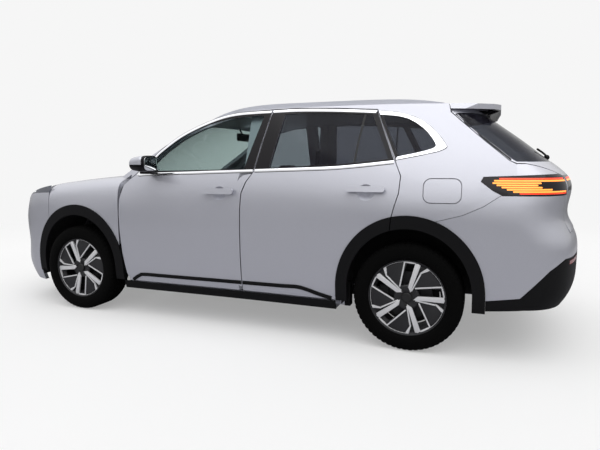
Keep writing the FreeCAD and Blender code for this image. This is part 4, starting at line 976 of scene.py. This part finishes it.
@dataclass
class Bodywork:
    """Paint and glass on the CAD nodes, and the trim that lies on them."""

    middle_looks: dict[Look, str] = field(default_factory=lambda: {
        PAINT: "body_shell front_fenders front_bumper rear_bumper bonnet tailgate fuel_flap",
        CHASSIS: "floor_pan front_subframe rear_subframe", CLADDING: "body_cladding",
        PIANO_BLACK: "front_grille", SCREEN: "windscreen", PRIVACY: "quarter_windows tailgate_glass",
        LAMP_SMOKE: "tail_lamps tailgate_lamp_bar", LAMP_CLEAR: "headlamps", SATIN: "roof_rails",
        TRIM: "dashboard steering_wheel", CLOTH: "seats", CAST: "engine_block"})
    side_looks: dict[Look, str] = field(default_factory=lambda: {
        PAINT: "front_door rear_door mirror", CLADDING: "rear_door_cladding",
        CLEAR: "front_door_glass", PRIVACY: "rear_door_glass", CHASSIS: "knuckle"})
    arch_z: float = 0.400
    arch_stretch: float = 1.045
    arch_steps: int = 28
    liner_radii: tuple[float, float] = (0.4445, 0.4425)
    front_liner_y: tuple[float, float] = (0.470, 0.890)
    rear_liner_y: tuple[float, float] = (0.564, 0.898)
    inner_wall_radius: float = 0.443
    inner_wall_rise: float = 0.463
    inner_wall_foot_z: float = 0.335
    inner_wall_y: tuple[float, float] = (0.5655, 0.5685)
    sill_end: tuple[tuple[float, ...], ...] = ((-0.884, 0.731, 0.2315), (-0.8425, 0.799, 0.404))

    def dress(self) -> int:
        """Gives every CAD node its material.

        Returns:
            How many nodes were dressed.
        """
        dressed = [(name, look) for look, names in self.middle_looks.items() for name in names.split()]
        dressed += [(f"{name}_{side.word}", look) for look, names in self.side_looks.items()
                    for name in names.split() for side in Side]
        for name, look in dressed:
            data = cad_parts[name].data
            data.materials.clear()
            data.materials.append(look.make())
        return len(dressed)

    def window_trim(self) -> int:
        """Black window surrounds, the gloss pillar covers and the bright strip round the windows.

        Returns:
            How many pieces were made.
        """
        made = 0
        outer_edge = [(-1052, 1600), (-1174, 1584), (-1240, 1566), (-1301, 1543), (-1352, 1516),
                      (-1401, 1478), (-1442, 1438), (-1475, 1399), (-1502, 1360), (-1512, 1343),
                      (-1505, 1334), (-1488, 1325), (-1464, 1315), (-1395, 1299), (-1324, 1285),
                      (-1260, 1273), (-1196, 1261)]
        inner_edge = [(-1207, 1281), (-1264, 1292), (-1320, 1303), (-1380, 1317), (-1425, 1331),
                      (-1440, 1340), (-1447, 1352), (-1436, 1376), (-1420, 1401), (-1392, 1437),
                      (-1359, 1470), (-1312, 1506), (-1260, 1536), (-1210, 1552), (-1160, 1562),
                      (-1064, 1572)]
        seal_edge = [(-1050, 1604), (-1175, 1588), (-1303, 1547), (-1404, 1481), (-1478, 1402),
                     (-1517, 1343), (-1508, 1330), (-1466, 1311), (-1325, 1281), (-1194, 1257)]
        for side in Side:
            cast = SideForm.caster(side)
            for body, outer, glass, strips in self.window_plan(side):
                surround = cover(outer, [glass], cast, 0.8 * MM, 0.5 * MM, 45.0)
                finish(surround, f"window_surround_{body}_{side.word}", PIANO_BLACK, body)
                bars = [ribbon(smooth_line(line, 18.0), width, cast, 2.2 * MM, 0.4 * MM, 1.8 * MM)
                        for line, width in strips]
                finish(joined(bars), f"bright_strip_{body}_{side.word}", BRIGHT, body, 50)
                seals = [ribbon(smooth_line(line, 18.0), width + 7.0, cast, 1.2 * MM, 0.4 * MM)
                         for line, width in strips]
                finish(joined(seals), f"window_seal_{body}_{side.word}", SEAL, body, 50)
                made += 3
            band = cover(outer_edge + inner_edge, [], cast, 2.8 * MM, 2.2 * MM, 30.0)
            finish(band, f"bright_strip_quarter_{side.word}", BRIGHT, "body", 50)
            seal = cover(seal_edge + inner_edge, [], cast, 1.2 * MM, 0.8 * MM, 30.0)
            finish(seal, f"window_seal_quarter_{side.word}", SEAL, "body", 50)
            bar = ribbon([(-921, 1238), (-936, 1400), (-960, 1578)], 15.0, cast, -2.0 * MM, 1.6 * MM)
            finish(bar, f"rear_window_divider_{side.word}", SEAL, f"rear_door_{side.word}",
                   50)
            made += 3
        return made

    def window_plan(self, side: Side) -> list[tuple[str, list[Point], list[Point], list[Strip]]]:
        """Outlines of the window trim on one side.

        Args:
            side: The side of the car.

        Returns:
            Body, outline of the surround, glass outline, and the strips with their widths.
        """
        word = side.word
        front_glass = [(650, 1188), (735, 1258), (605, 1382), (435, 1486), (268, 1549), (95, 1587),
                       (-160, 1603), (-188, 1594), (-100, 1202)]
        rear_glass = [(-300, 1210), (-357, 1601), (-467, 1606), (-758, 1595), (-1012, 1574),
                      (-1148, 1268), (-900, 1240), (-692, 1228)]
        quarter_glass = [(-1078, 1568), (-1160, 1560), (-1260, 1535), (-1358, 1469), (-1419, 1400),
                         (-1450, 1352), (-1425, 1332), (-1320, 1303), (-1212, 1282)]
        front_top = [(856, 1164), (722, 1300), (659, 1361), (495, 1480), (265, 1581), (57, 1630),
                     (-243, 1640)]
        rear_top = [(-258, 1641), (-467, 1642), (-758, 1628), (-1036, 1607)]
        front_low = [(835, 1156), (720, 1163), (400, 1172), (100, 1181), (-172, 1189)]
        rear_low = [(-188, 1190), (-692, 1205), (-900, 1218), (-1186, 1247)]
        front_outer = (inset(front_top, 6.0) + [(-240, 1600), (-179, 1196)]
                       + list(reversed(front_low[:-1])))
        rear_outer = (inset(rear_top, 6.0) + [(-1044, 1596), (-1186, 1258)]
                      + list(reversed(rear_low[1:-1])) + [(-187.5, 1196), (-248, 1600)])
        quarter_outer = [(-1050, 1596), (-1130, 1584), (-1250, 1556), (-1340, 1505), (-1400, 1450),
                         (-1468, 1378), (-1480, 1346), (-1420, 1318), (-1300, 1288), (-1198, 1262)]
        return [
            (f"front_door_{word}", front_outer, front_glass,
             [(front_low, 19.0), (inset(front_top, 12.5), 18.0)]),
            (f"rear_door_{word}", rear_outer, rear_glass,
             [(rear_low, 20.0), (inset(rear_top, 13.5), 19.0)]),
            ("body", quarter_outer, quarter_glass,
             [([(-1196, 1256), (-1200, 1268), (-1203, 1276)], 3.0)]),
        ]

    def sill_blade(self) -> int:
        """The raised black blade above the sill, on both sides.

        Returns:
            How many pieces were made.
        """
        made = 0
        lines = {"front_door": [(897, 306), (868, 326), (822, 350), (771, 358), (400, 359), (-81, 362)],
                 "rear_door": [(-95, 362), (-400, 365), (-525, 368), (-600, 355), (-690, 330),
                               (-780, 309)]}
        for side in Side:
            cast = SideForm.caster(side)
            for door, line in lines.items():
                body = f"{door}_{side.word}"
                strip = ribbon(smooth_line(line, 25.0), 27.0, cast, 4.5 * MM, 0.4 * MM, 2.5 * MM)
                finish(strip, f"sill_blade_{body}", CLADDING, body, 50)
                made += 1
        return made

    def arch_liners(self) -> int:
        """Felt liners in the four wheel arches, the rear ones' inner walls, and the sill end caps.

        Returns:
            How many pieces were made.
        """
        fan = [math.pi * k / self.arch_steps for k in range(self.arch_steps + 1)]
        turns = [(1.0, -0.28)] + [(math.cos(a), math.sin(a)) for a in fan] + [(-1.0, -0.15)]
        far, near = self.liner_radii
        for side in Side:
            for place, x, (start, end) in (("front", AXLE_FRONT, self.front_liner_y),
                                           ("rear", AXLE_REAR, self.rear_liner_y)):
                mesh = bmesh.new()
                section = ((far, start), (far, end), (near, end), (near, start))
                rows = [[mesh.verts.new((x + radius * c, y * side.value,
                                         self.arch_z + radius * self.arch_stretch * s))
                         for radius, y in section] for c, s in turns]
                finish(bar_of(mesh, rows), f"arch_liner_{place}_{side.word}", LINER, "body")
            wall = [(AXLE_REAR + self.inner_wall_radius * math.cos(a),
                     self.arch_z + self.inner_wall_rise * math.sin(a)) for a in fan]
            wall += [(AXLE_REAR - self.inner_wall_radius, self.inner_wall_foot_z),
                     (AXLE_REAR + self.inner_wall_radius, self.inner_wall_foot_z)]
            inner = on_side(plate(wall, *self.inner_wall_y), side)
            finish(inner, f"arch_inner_liner_{side.word}", LINER, "body")
            cap = on_side(rounded_box(*self.sill_end, 0.003, 2), side)
            finish(cap, f"sill_end_cap_{side.word}", CLADDING, "body")
        return 8

    def door_hems(self) -> int:
        """The folded skin edge that covers the shut gap behind each front door.

        Returns:
            How many pieces were made.
        """
        front = [(-66, 330), (-60, 340), (-55, 400), (-51, 430), (-47, 500), (-45, 556), (-44, 650),
                 (-44, 913), (-45, 970), (-47, 1026), (-50, 1070), (-58, 1109), (-72, 1135),
                 (-100, 1155), (-148, 1166)]
        back = [(-164, 1166), (-152, 1150), (-137, 1130), (-122, 1109), (-106, 1070), (-90, 1026),
                (-85.5, 970), (-81, 913), (-80, 820), (-79, 729), (-78.5, 650), (-78, 556),
                (-79.3, 500), (-81, 430), (-82.1, 400), (-84, 340), (-84.5, 330)]
        for side in Side:
            hem = cover(front + back, [], SideForm.caster(side), 0.4 * MM, 2.2 * MM, 45.0)
            finish(hem, f"door_hem_{side.word}", PAINT, f"front_door_{side.word}")
        return 2

    def tail_trim(self) -> int:
        """The black strips beside the rear window and the black underside of the spoiler.

        Returns:
            How many pieces were made.
        """
        skin = Skin("tailgate")
        for side in Side:

            def cast(x: float, z: float) -> tuple[Vector, Vector] | None:
                return skin.side(x * MM, z * MM, side)

            line = [(-1552, 1558), (-1605, 1512), (-1742, 1386), (-1893, 1257)]
            strip = ribbon(smooth_line(line, 20.0), 17.0, cast, 0.8 * MM, 0.5 * MM)
            finish(strip, f"rear_window_edge_{side.word}", PIANO_BLACK, "tailgate")

        def above(x: float, y: float) -> tuple[Vector, Vector] | None:
            return skin.hit(Vector((x * MM, y * MM, 1.560)), Vector((0, 0, 1)))

        line = [(-1790, y) for y in range(-560, 561, 40)]
        under = ribbon(line, 80.0, above, 1.0 * MM, 0.4 * MM)
        finish(under, "spoiler_underside", PIANO_BLACK, "tailgate")
        return 3

    def wiper(self) -> int:
        """The small rear wiper at the foot of the rear window.

        Returns:
            How many pieces were made.
        """
        skin = Skin("tailgate_glass")
        found = [skin.hit(Vector((-3.0, y, z)), Vector((1, 0, 0))) for y, z in
                 ((0.0, 1.262), (0.14, 1.275), (0.30, 1.295), (0.42, 1.315))]
        path = [p + n * 0.016 for p, n in (f for f in found if f)]
        arm = tube(path, 0.007, 8)
        knob = bmesh.new()
        bmesh.ops.create_uvsphere(knob, u_segments=16, v_segments=10, radius=0.020)
        bmesh.ops.translate(knob, verts=knob.verts, vec=path[0])
        finish(joined([arm, knob]), "rear_wiper", CLADDING, "tailgate")
        return 1


@dataclass
class DoorMirror:
    """A door mirror: bright cap, black lower shell with its foot, and the glass."""

    side: Side
    centre: Point = (1.059, 1.245)
    squareness: float = 0.5

    def oval(self, half_y: float, half_z: float, front: float, rear: float,
             ease: float) -> bmesh.types.BMesh:
        """A rounded plate across the car that faces the rear.

        Args:
            half_y: Half its width.
            half_z: Half its height.
            front: x of its front face.
            rear: x of its rear face.
            ease: Width of the eased rear edge.

        Returns:
            The closed mesh, on the left side.
        """
        points = []
        for step in range(48):
            c, s = math.cos(math.tau * step / 48), math.sin(math.tau * step / 48)
            points.append((self.centre[0] + half_y * math.copysign(abs(c) ** self.squareness, c),
                           self.centre[1] + half_z * math.copysign(abs(s) ** self.squareness, s)))
        return rotated(plate(points, -front, -rear, ease), math.pi / 2, "Z")

    def build(self) -> int:
        """Builds the mirror in the CAD mirror's place.

        Returns:
            How many pieces it has.
        """
        body = f"front_door_{self.side.word}"
        pieces = []
        halves = (("mirror_cap", PAINT, 1), ("mirror_base", PIANO_BLACK, -1))
        for number, (name, look, keep) in enumerate(halves):
            shell = rounded_box((0.602, 0.968, 1.180), (0.748, 1.148, 1.310), 0.040, 5)
            for v in shell.verts:
                v.co.y += 0.10 * (v.co.x - 0.602) * (-1 if v.co.y > 1.05 else 0)
                v.co.z -= 0.16 * (v.co.x - 0.602) * (1 if v.co.z > 1.25 else -0.8)
            whole = shell.verts[:] + shell.edges[:] + shell.faces[:]
            cut = bmesh.ops.bisect_plane(shell, geom=whole, plane_co=(0, 0, 1.238),
                                         plane_no=(0, 0, keep), clear_inner=True)
            rim = [e for e in cut["geom_cut"] if isinstance(e, bmesh.types.BMEdge)]
            bmesh.ops.holes_fill(shell, edges=rim, sides=0)
            if number:
                foot = rounded_box((0.640, 0.900, 1.166), (0.735, 1.010, 1.190), 0.009, 3)
                bezel = self.oval(0.085, 0.061, 0.612, 0.590, 0.006)
                shell = joined([shell, foot, bezel])
            shell = on_side(shell, self.side)
            pieces.append(finish(shell, f"{name}_{self.side.word}", look, body))
        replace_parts(pieces[0], f"mirror_{self.side.word}")
        glass = on_side(self.oval(0.076, 0.052, 0.5935, 0.5875, 0.002), self.side)
        pieces.append(finish(glass, f"mirror_glass_{self.side.word}", MIRROR, body))
        return len(pieces)


@dataclass
class Cabin:
    """What shows through the windows: padded seats, inner mirror, belts and screen."""

    front_seat_x: float = 0.060
    rear_seat_x: float = -0.790
    seat_y: float = 0.370
    back_lean: float = -0.27
    seat_width: float = 0.50
    bench_width: float = 1.09

    def cushion(self, low: Sequence[float], high: Sequence[float], tilt: float, pivot: Sequence[float],
                radius: float) -> bmesh.types.BMesh:
        """One stuffed block, rounded and turned about a line across the car."""
        return rotated(rounded_box(low, high, radius, 4), tilt, "Y", pivot)

    def seats(self) -> int:
        """Three padded seats that stand for the CAD seats.

        Returns:
            How many pieces were made.
        """
        made = []
        places = [("front_seat_left", self.front_seat_x, self.seat_y, self.seat_width, (0.0,)),
                  ("front_seat_right", self.front_seat_x, -self.seat_y, self.seat_width, (0.0,)),
                  ("rear_bench", self.rear_seat_x, 0.0, self.bench_width, (-0.34, 0.34))]
        for name, x, y, width, rests in places:
            half = width / 2
            parts = [self.cushion((x - 0.18, y - half + 0.06, 0.44),
                                  (x + 0.34, y + half - 0.06, 0.585), 0.0, (x, y, 0.5), 0.05)]
            for way in (-1, 1):
                side_low, side_high = sorted((y + way * half, y + way * (half - 0.075)))
                parts.append(self.cushion((x - 0.16, side_low, 0.43), (x + 0.33, side_high, 0.60),
                                          0.0, (x, y, 0.5), 0.035))
                parts.append(self.cushion((x - 0.175, side_low, 0.56), (x - 0.06, side_high, 1.02),
                                          self.back_lean, (x - 0.15, y, 0.56), 0.035))
            parts.append(self.cushion((x - 0.20, y - half + 0.06, 0.52),
                                      (x - 0.085, y + half - 0.06, 1.06), self.back_lean,
                                      (x - 0.15, y, 0.56), 0.045))
            for rest in rests:
                parts.append(self.cushion((x - 0.345, y + rest - 0.125, 1.075),
                                          (x - 0.250, y + rest + 0.125, 1.225), -0.10,
                                          (x - 0.3, y, 1.12), 0.035))
                for way in (-0.05, 0.05):
                    parts.append(tube([Vector((x - 0.292, y + rest + way, 1.00)),
                                       Vector((x - 0.297, y + rest + way, 1.10))], 0.006, 8))
            base = rounded_box((x - 0.16, y - half + 0.05, 0.2755),
                               (x + 0.30, y + half - 0.05, 0.45), 0.02, 2)
            made.append(finish(joined(parts), name, CLOTH, "body", 60))
            finish(base, f"{name}_base", TRIM, "body")
        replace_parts(made[0], "seats")
        return 2 * len(made)

    def small_pieces(self) -> int:
        """Inner mirror, centre screen, instrument hood and belts.

        Returns:
            How many pieces were made.
        """
        glass = rounded_box((0.325, -0.125, 1.445), (0.352, 0.125, 1.515), 0.012, 3)
        stem = tube([Vector((0.350, 0, 1.50)), Vector((0.372, 0, 1.545)), Vector((0.380, 0, 1.560))],
                    0.008, 8)
        finish(joined([glass, stem]), "inner_mirror", TRIM, "body")
        screen = rounded_box((0.742, -0.180, 1.035), (0.760, 0.120, 1.175), 0.006, 2)
        finish(screen, "centre_screen", PIANO_BLACK, "body")
        hood = rounded_box((0.720, 0.220, 1.030), (0.830, 0.520, 1.105), 0.030, 3)
        finish(hood, "instrument_hood", TRIM, "body")
        for side in Side:
            belt = [Vector((x, y * side.value, z)) for x, y, z in
                    ((-0.165, 0.690, 1.38), (-0.150, 0.640, 1.10), (-0.120, 0.640, 0.62))]
            mesh = bmesh.new()
            rows = [[mesh.verts.new(p + Vector(o)) for o in ((-0.023, 0, 0), (0.023, 0, 0),
                                                             (0.023, 0.002, 0), (-0.023, 0.002, 0))]
                    for p in belt]
            finish(bar_of(mesh, rows), f"front_belt_{side.word}", BELT, "body")
        return 5


@dataclass
class Lamps:
    """Light guides behind the lamp covers, front and rear, and the rear reflectors."""

    tail_axis: float = -1.4
    nose_axis: float = 1.3
    guide_sink: float = 0.4 * MM
    guide_proud: float = 0.8 * MM
    bar_half: float = 0.62

    def around(self, skin: Skin, axis_x: float, side: Side = Side.LEFT) -> Caster:
        """Lays points onto lamp covers, seen from an upright line inside the car.

        Args:
            skin: The covers' surface.
            axis_x: Where the upright line stands.
            side: The side whose angles count up from straight ahead.

        Returns:
            Gives the surface point and normal for an angle and a height in millimetres.
        """
        return lambda angle, height_mm: skin.plan(axis_x, angle * side.value, height_mm * MM)

    def level(self, start: float, sweep: float, z: float, steps: int) -> list[Point]:
        """Even steps in angle at one height."""
        return [(start + sweep * t / steps, z) for t in range(steps + 1)]

    def rear(self) -> int:
        """The striped tail lamps and the bar between them.

        Returns:
            How many pieces were made.
        """
        made = 0
        side_skin, bar_skin = Skin("tail_lamps"), Skin("tailgate_lamp_bar")
        stripes = [(1141, 9.0, LAMP_RED, 2.030, 2.70), (1129, 9.5, LAMP_AMBER, 2.000, 2.70),
                   (1115, 9.0, LAMP_AMBER, 1.990, 2.24), (1102, 9.0, LAMP_AMBER, 2.010, 2.22),
                   (1089, 9.0, LAMP_AMBER, 2.035, 2.24), (1076, 9.0, LAMP_AMBER, 2.060, 2.30),
                   (1063, 9.0, LAMP_AMBER, 2.090, 2.62), (1052, 6.0, LAMP_RED, 2.120, 2.58)]
        for side in Side:
            cast = self.around(side_skin, self.tail_axis, side)
            for number, (z, height, look, start, end) in enumerate(stripes):
                line = self.level(start, end - start, z, 24)
                finish(self.guide(line, height, cast), f"tail_stripe_{number}_{side.word}", look,
                       "body", 50)
                made += 1
        cast = self.around(bar_skin, self.tail_axis)
        for number, (z, height, look, _, _) in enumerate(stripes[:2]):
            line = self.level(math.pi - self.bar_half, 2 * self.bar_half, z, 40)
            finish(self.guide(line, height, cast), f"tail_bar_stripe_{number}", look, "tailgate",
                   50)
            made += 1
        return made

    def guide(self, line: Sequence[Point], height: float, cast: Caster) -> bmesh.types.BMesh:
        """A level light guide on a lamp cover.

        Args:
            line: (angle, height in mm) points.
            height: The guide's height in mm.
            cast: Gives the surface point and normal.

        Returns:
            The closed mesh.
        """
        mesh = bmesh.new()
        rings = []
        for angle, z in line:
            row = [cast(angle, z - height / 2), cast(angle, z + height / 2)]
            if None in row:
                continue
            (low, low_way), (high, high_way) = row
            rings.append([mesh.verts.new(point) for point in (
                low - low_way * self.guide_sink, low + low_way * self.guide_proud,
                high + high_way * self.guide_proud, high - high_way * self.guide_sink)])
        return bar_of(mesh, rings)

    def front(self) -> int:
        """The two white light guides in each slim headlamp.

        Returns:
            How many pieces were made.
        """
        skin = Skin("headlamps")
        made = 0
        for side in Side:
            cast = self.around(skin, self.nose_axis, side)
            for number, lift in enumerate((10.0, 24.0)):
                line = [(0.36 + 0.55 * t / 30, 922 + lift + 60 * (t / 30) ** 1.6) for t in range(31)]
                finish(self.guide(line, 9.0, cast), f"headlamp_guide_{number}_{side.word}",
                       LAMP_WHITE, "body", 50)
                made += 1
        return made

    def reflectors(self) -> int:
        """The red reflectors low in the rear bumper cladding.

        Returns:
            How many pieces were made.
        """
        skin = Skin("body_cladding")
        for side in Side:
            line = self.level(2.42, 0.22, 628, 10)
            cast = self.around(skin, self.tail_axis, side)
            finish(self.guide(line, 22.0, cast), f"rear_reflector_{side.word}", REFLECTOR, "body",
                   50)
        return 2


@dataclass
class Stage:
    """Camera, floor and light that show the car as the photograph does."""

    eye: tuple[float, float, float] = (-1.734, 4.129, 1.245)
    yaw: float = math.radians(21.46)
    pitch: float = math.radians(-5.42)
    roll: float = math.radians(-0.33)
    white: float = 0.922
    room: float = 0.60
    sky: float = 1.4
    ground: str = "b4b4b8"
    floor_lift: float = 0.32
    floor_half: float = 60.0
    floor_fade: tuple[float, float] = (4.5, 8.0)
    sensor_mm: float = 36.0
    lens_mm: float = 29.52
    shift: tuple[float, float] = (0.0177, -0.0257)
    sky_width: float = math.radians(75)
    sky_way: tuple[float, float, float] = (0.25, -0.35, -1.0)

    def camera(self) -> None:
        """Places the camera at the photograph's viewing angle."""
        data = bpy.data.cameras.new("camera")
        data.sensor_fit = "HORIZONTAL"
        data.sensor_width = self.sensor_mm
        data.lens = self.lens_mm
        data.shift_x, data.shift_y = self.shift
        forward = Vector((math.sin(self.yaw) * math.cos(self.pitch),
                          -math.cos(self.yaw) * math.cos(self.pitch), math.sin(self.pitch)))
        level = forward.cross(Vector((0, 0, 1))).normalized()
        up = level.cross(forward)
        right = level * math.cos(self.roll) + up * math.sin(self.roll)
        top = -level * math.sin(self.roll) + up * math.cos(self.roll)
        turn = Matrix((right, top, -forward)).transposed().to_4x4()
        camera = bpy.data.objects.new("camera", data)
        camera.matrix_world = Matrix.Translation(Vector(self.eye)) @ turn
        bpy.context.scene.collection.objects.link(camera)
        bpy.context.scene.camera = camera

    def floor(self) -> None:
        """A wide pale floor that keeps the car's shadow."""
        mesh = bmesh.new()
        bmesh.ops.create_grid(mesh, x_segments=2, y_segments=2, size=self.floor_half)
        data = bpy.data.meshes.new("floor")
        mesh.to_mesh(data)
        mesh.free()
        floor = bpy.data.objects.new("floor", data)
        bpy.context.scene.collection.objects.link(floor)
        material, tree, out = blank("pale_studio_floor")
        place = add(tree, "ShaderNodeTexCoord").outputs["Object"]
        seen = add(tree, "ShaderNodeLightPath").outputs["Is Camera Ray"]
        drift = add(tree, "ShaderNodeTexNoise", {"Vector": place, "Scale": 0.6})
        tone = add(tree, "ShaderNodeMix", {0: drift.outputs["Fac"], 6: linear("cfcfcf"),
                                           7: linear("d2d2d2")}, data_type="RGBA")
        felt = add(tree, "ShaderNodeMix", {0: seen, 6: linear(self.ground), 7: tone.outputs[2]},
                   data_type="RGBA")
        matt = add(tree, "ShaderNodeBsdfDiffuse", {"Color": felt.outputs[2]})
        lift = add(tree, "ShaderNodeMath", {0: seen, 1: self.floor_lift}, operation="MULTIPLY")
        glow = add(tree, "ShaderNodeEmission", {"Strength": lift.outputs[0]})
        near = add(tree, "ShaderNodeAddShader", {0: matt.outputs[0], 1: glow.outputs[0]})
        away = add(tree, "ShaderNodeVectorMath", {0: place}, operation="LENGTH")
        start, end = self.floor_fade
        fade = add(tree, "ShaderNodeMapRange", {"Value": away.outputs["Value"], "From Min": start,
                                                "From Max": end}, interpolation_type="SMOOTHSTEP")
        level = add(tree, "ShaderNodeMapRange", {"Value": seen, "To Min": 0.15, "To Max": self.white})
        far = add(tree, "ShaderNodeEmission", {"Strength": level.outputs[0]})
        shader = add(tree, "ShaderNodeMixShader", {0: fade.outputs["Result"], 1: near.outputs[0],
                                                   2: far.outputs[0]})
        tree.links.new(shader.outputs[0], out.inputs[0])
        data.materials.append(material)

    def light(self) -> None:
        """A pale room with soft light from above and from the camera's side."""
        world = bpy.data.worlds.new("room")
        bpy.context.scene.world = world
        world.use_nodes = True
        tree = world.node_tree
        tree.nodes.clear()
        path = add(tree, "ShaderNodeLightPath")
        seen = add(tree, "ShaderNodeMath",
                   {0: path.outputs["Is Camera Ray"], 1: path.outputs["Is Transmission Ray"]},
                   operation="MAXIMUM")
        way = add(tree, "ShaderNodeTexCoord").outputs["Generated"]
        height = add(tree, "ShaderNodeSeparateXYZ", {0: way}).outputs["Z"]
        rise = add(tree, "ShaderNodeMapRange", {"Value": height, "From Min": 0.0, "From Max": 0.75,
                                                "To Min": 0.42, "To Max": 1.35})
        level = add(tree, "ShaderNodeMix", {0: path.outputs["Is Glossy Ray"], 2: self.room,
                                            3: rise.outputs["Result"]}, data_type="FLOAT")
        strength = add(tree, "ShaderNodeMix", {0: seen.outputs[0], 2: level.outputs[0], 3: self.white},
                       data_type="FLOAT")
        back = add(tree, "ShaderNodeBackground",
                   {"Color": (1, 1, 1, 1), "Strength": strength.outputs[0]})
        out = tree.nodes.new("ShaderNodeOutputWorld")
        tree.links.new(back.outputs[0], out.inputs[0])
        data = bpy.data.lights.new("sky", "SUN")
        data.angle = self.sky_width
        data.energy = self.sky
        lamp = bpy.data.objects.new("sky", data)
        lamp.rotation_euler = Vector(self.sky_way).to_track_quat("-Z", "Y").to_euler()
        bpy.context.scene.collection.objects.link(lamp)
        bpy.context.scene.view_settings.view_transform = "Standard"


def main() -> None:
    """Builds the car's looks and the scene round it."""
    logging.basicConfig(level=logging.INFO, format="%(name)s %(message)s")
    stage = Stage()
    stage.camera()
    stage.floor()
    stage.light()
    bodywork = Bodywork()
    LOG.info("dressed nodes: %d", bodywork.dress())
    LOG.info("window trim: %d", bodywork.window_trim())
    LOG.info("sill blades: %d", bodywork.sill_blade())
    LOG.info("arch liners: %d", bodywork.arch_liners())
    LOG.info("door hems: %d", bodywork.door_hems())
    LOG.info("tail trim: %d", bodywork.tail_trim() + bodywork.wiper())
    LOG.info("mirrors: %d", sum(DoorMirror(side).build() for side in Side))
    cabin = Cabin()
    LOG.info("cabin: %d", cabin.seats() + cabin.small_pieces())
    lamps = Lamps()
    LOG.info("rear lamps: %d", lamps.rear())
    LOG.info("front lamps: %d", lamps.front())
    LOG.info("reflectors: %d", lamps.reflectors())
    for place, axle_x, side, turn in (("front_left", AXLE_FRONT, Side.LEFT, 0.70),
                                      ("front_right", AXLE_FRONT, Side.RIGHT, 0.4),
                                      ("rear_left", AXLE_REAR, Side.LEFT, 0.0),
                                      ("rear_right", AXLE_REAR, Side.RIGHT, 0.2)):
        LOG.info("wheel %s: %d", place, Wheel(place, axle_x, side, turn).build())


if __name__ == "__main__":
    main()
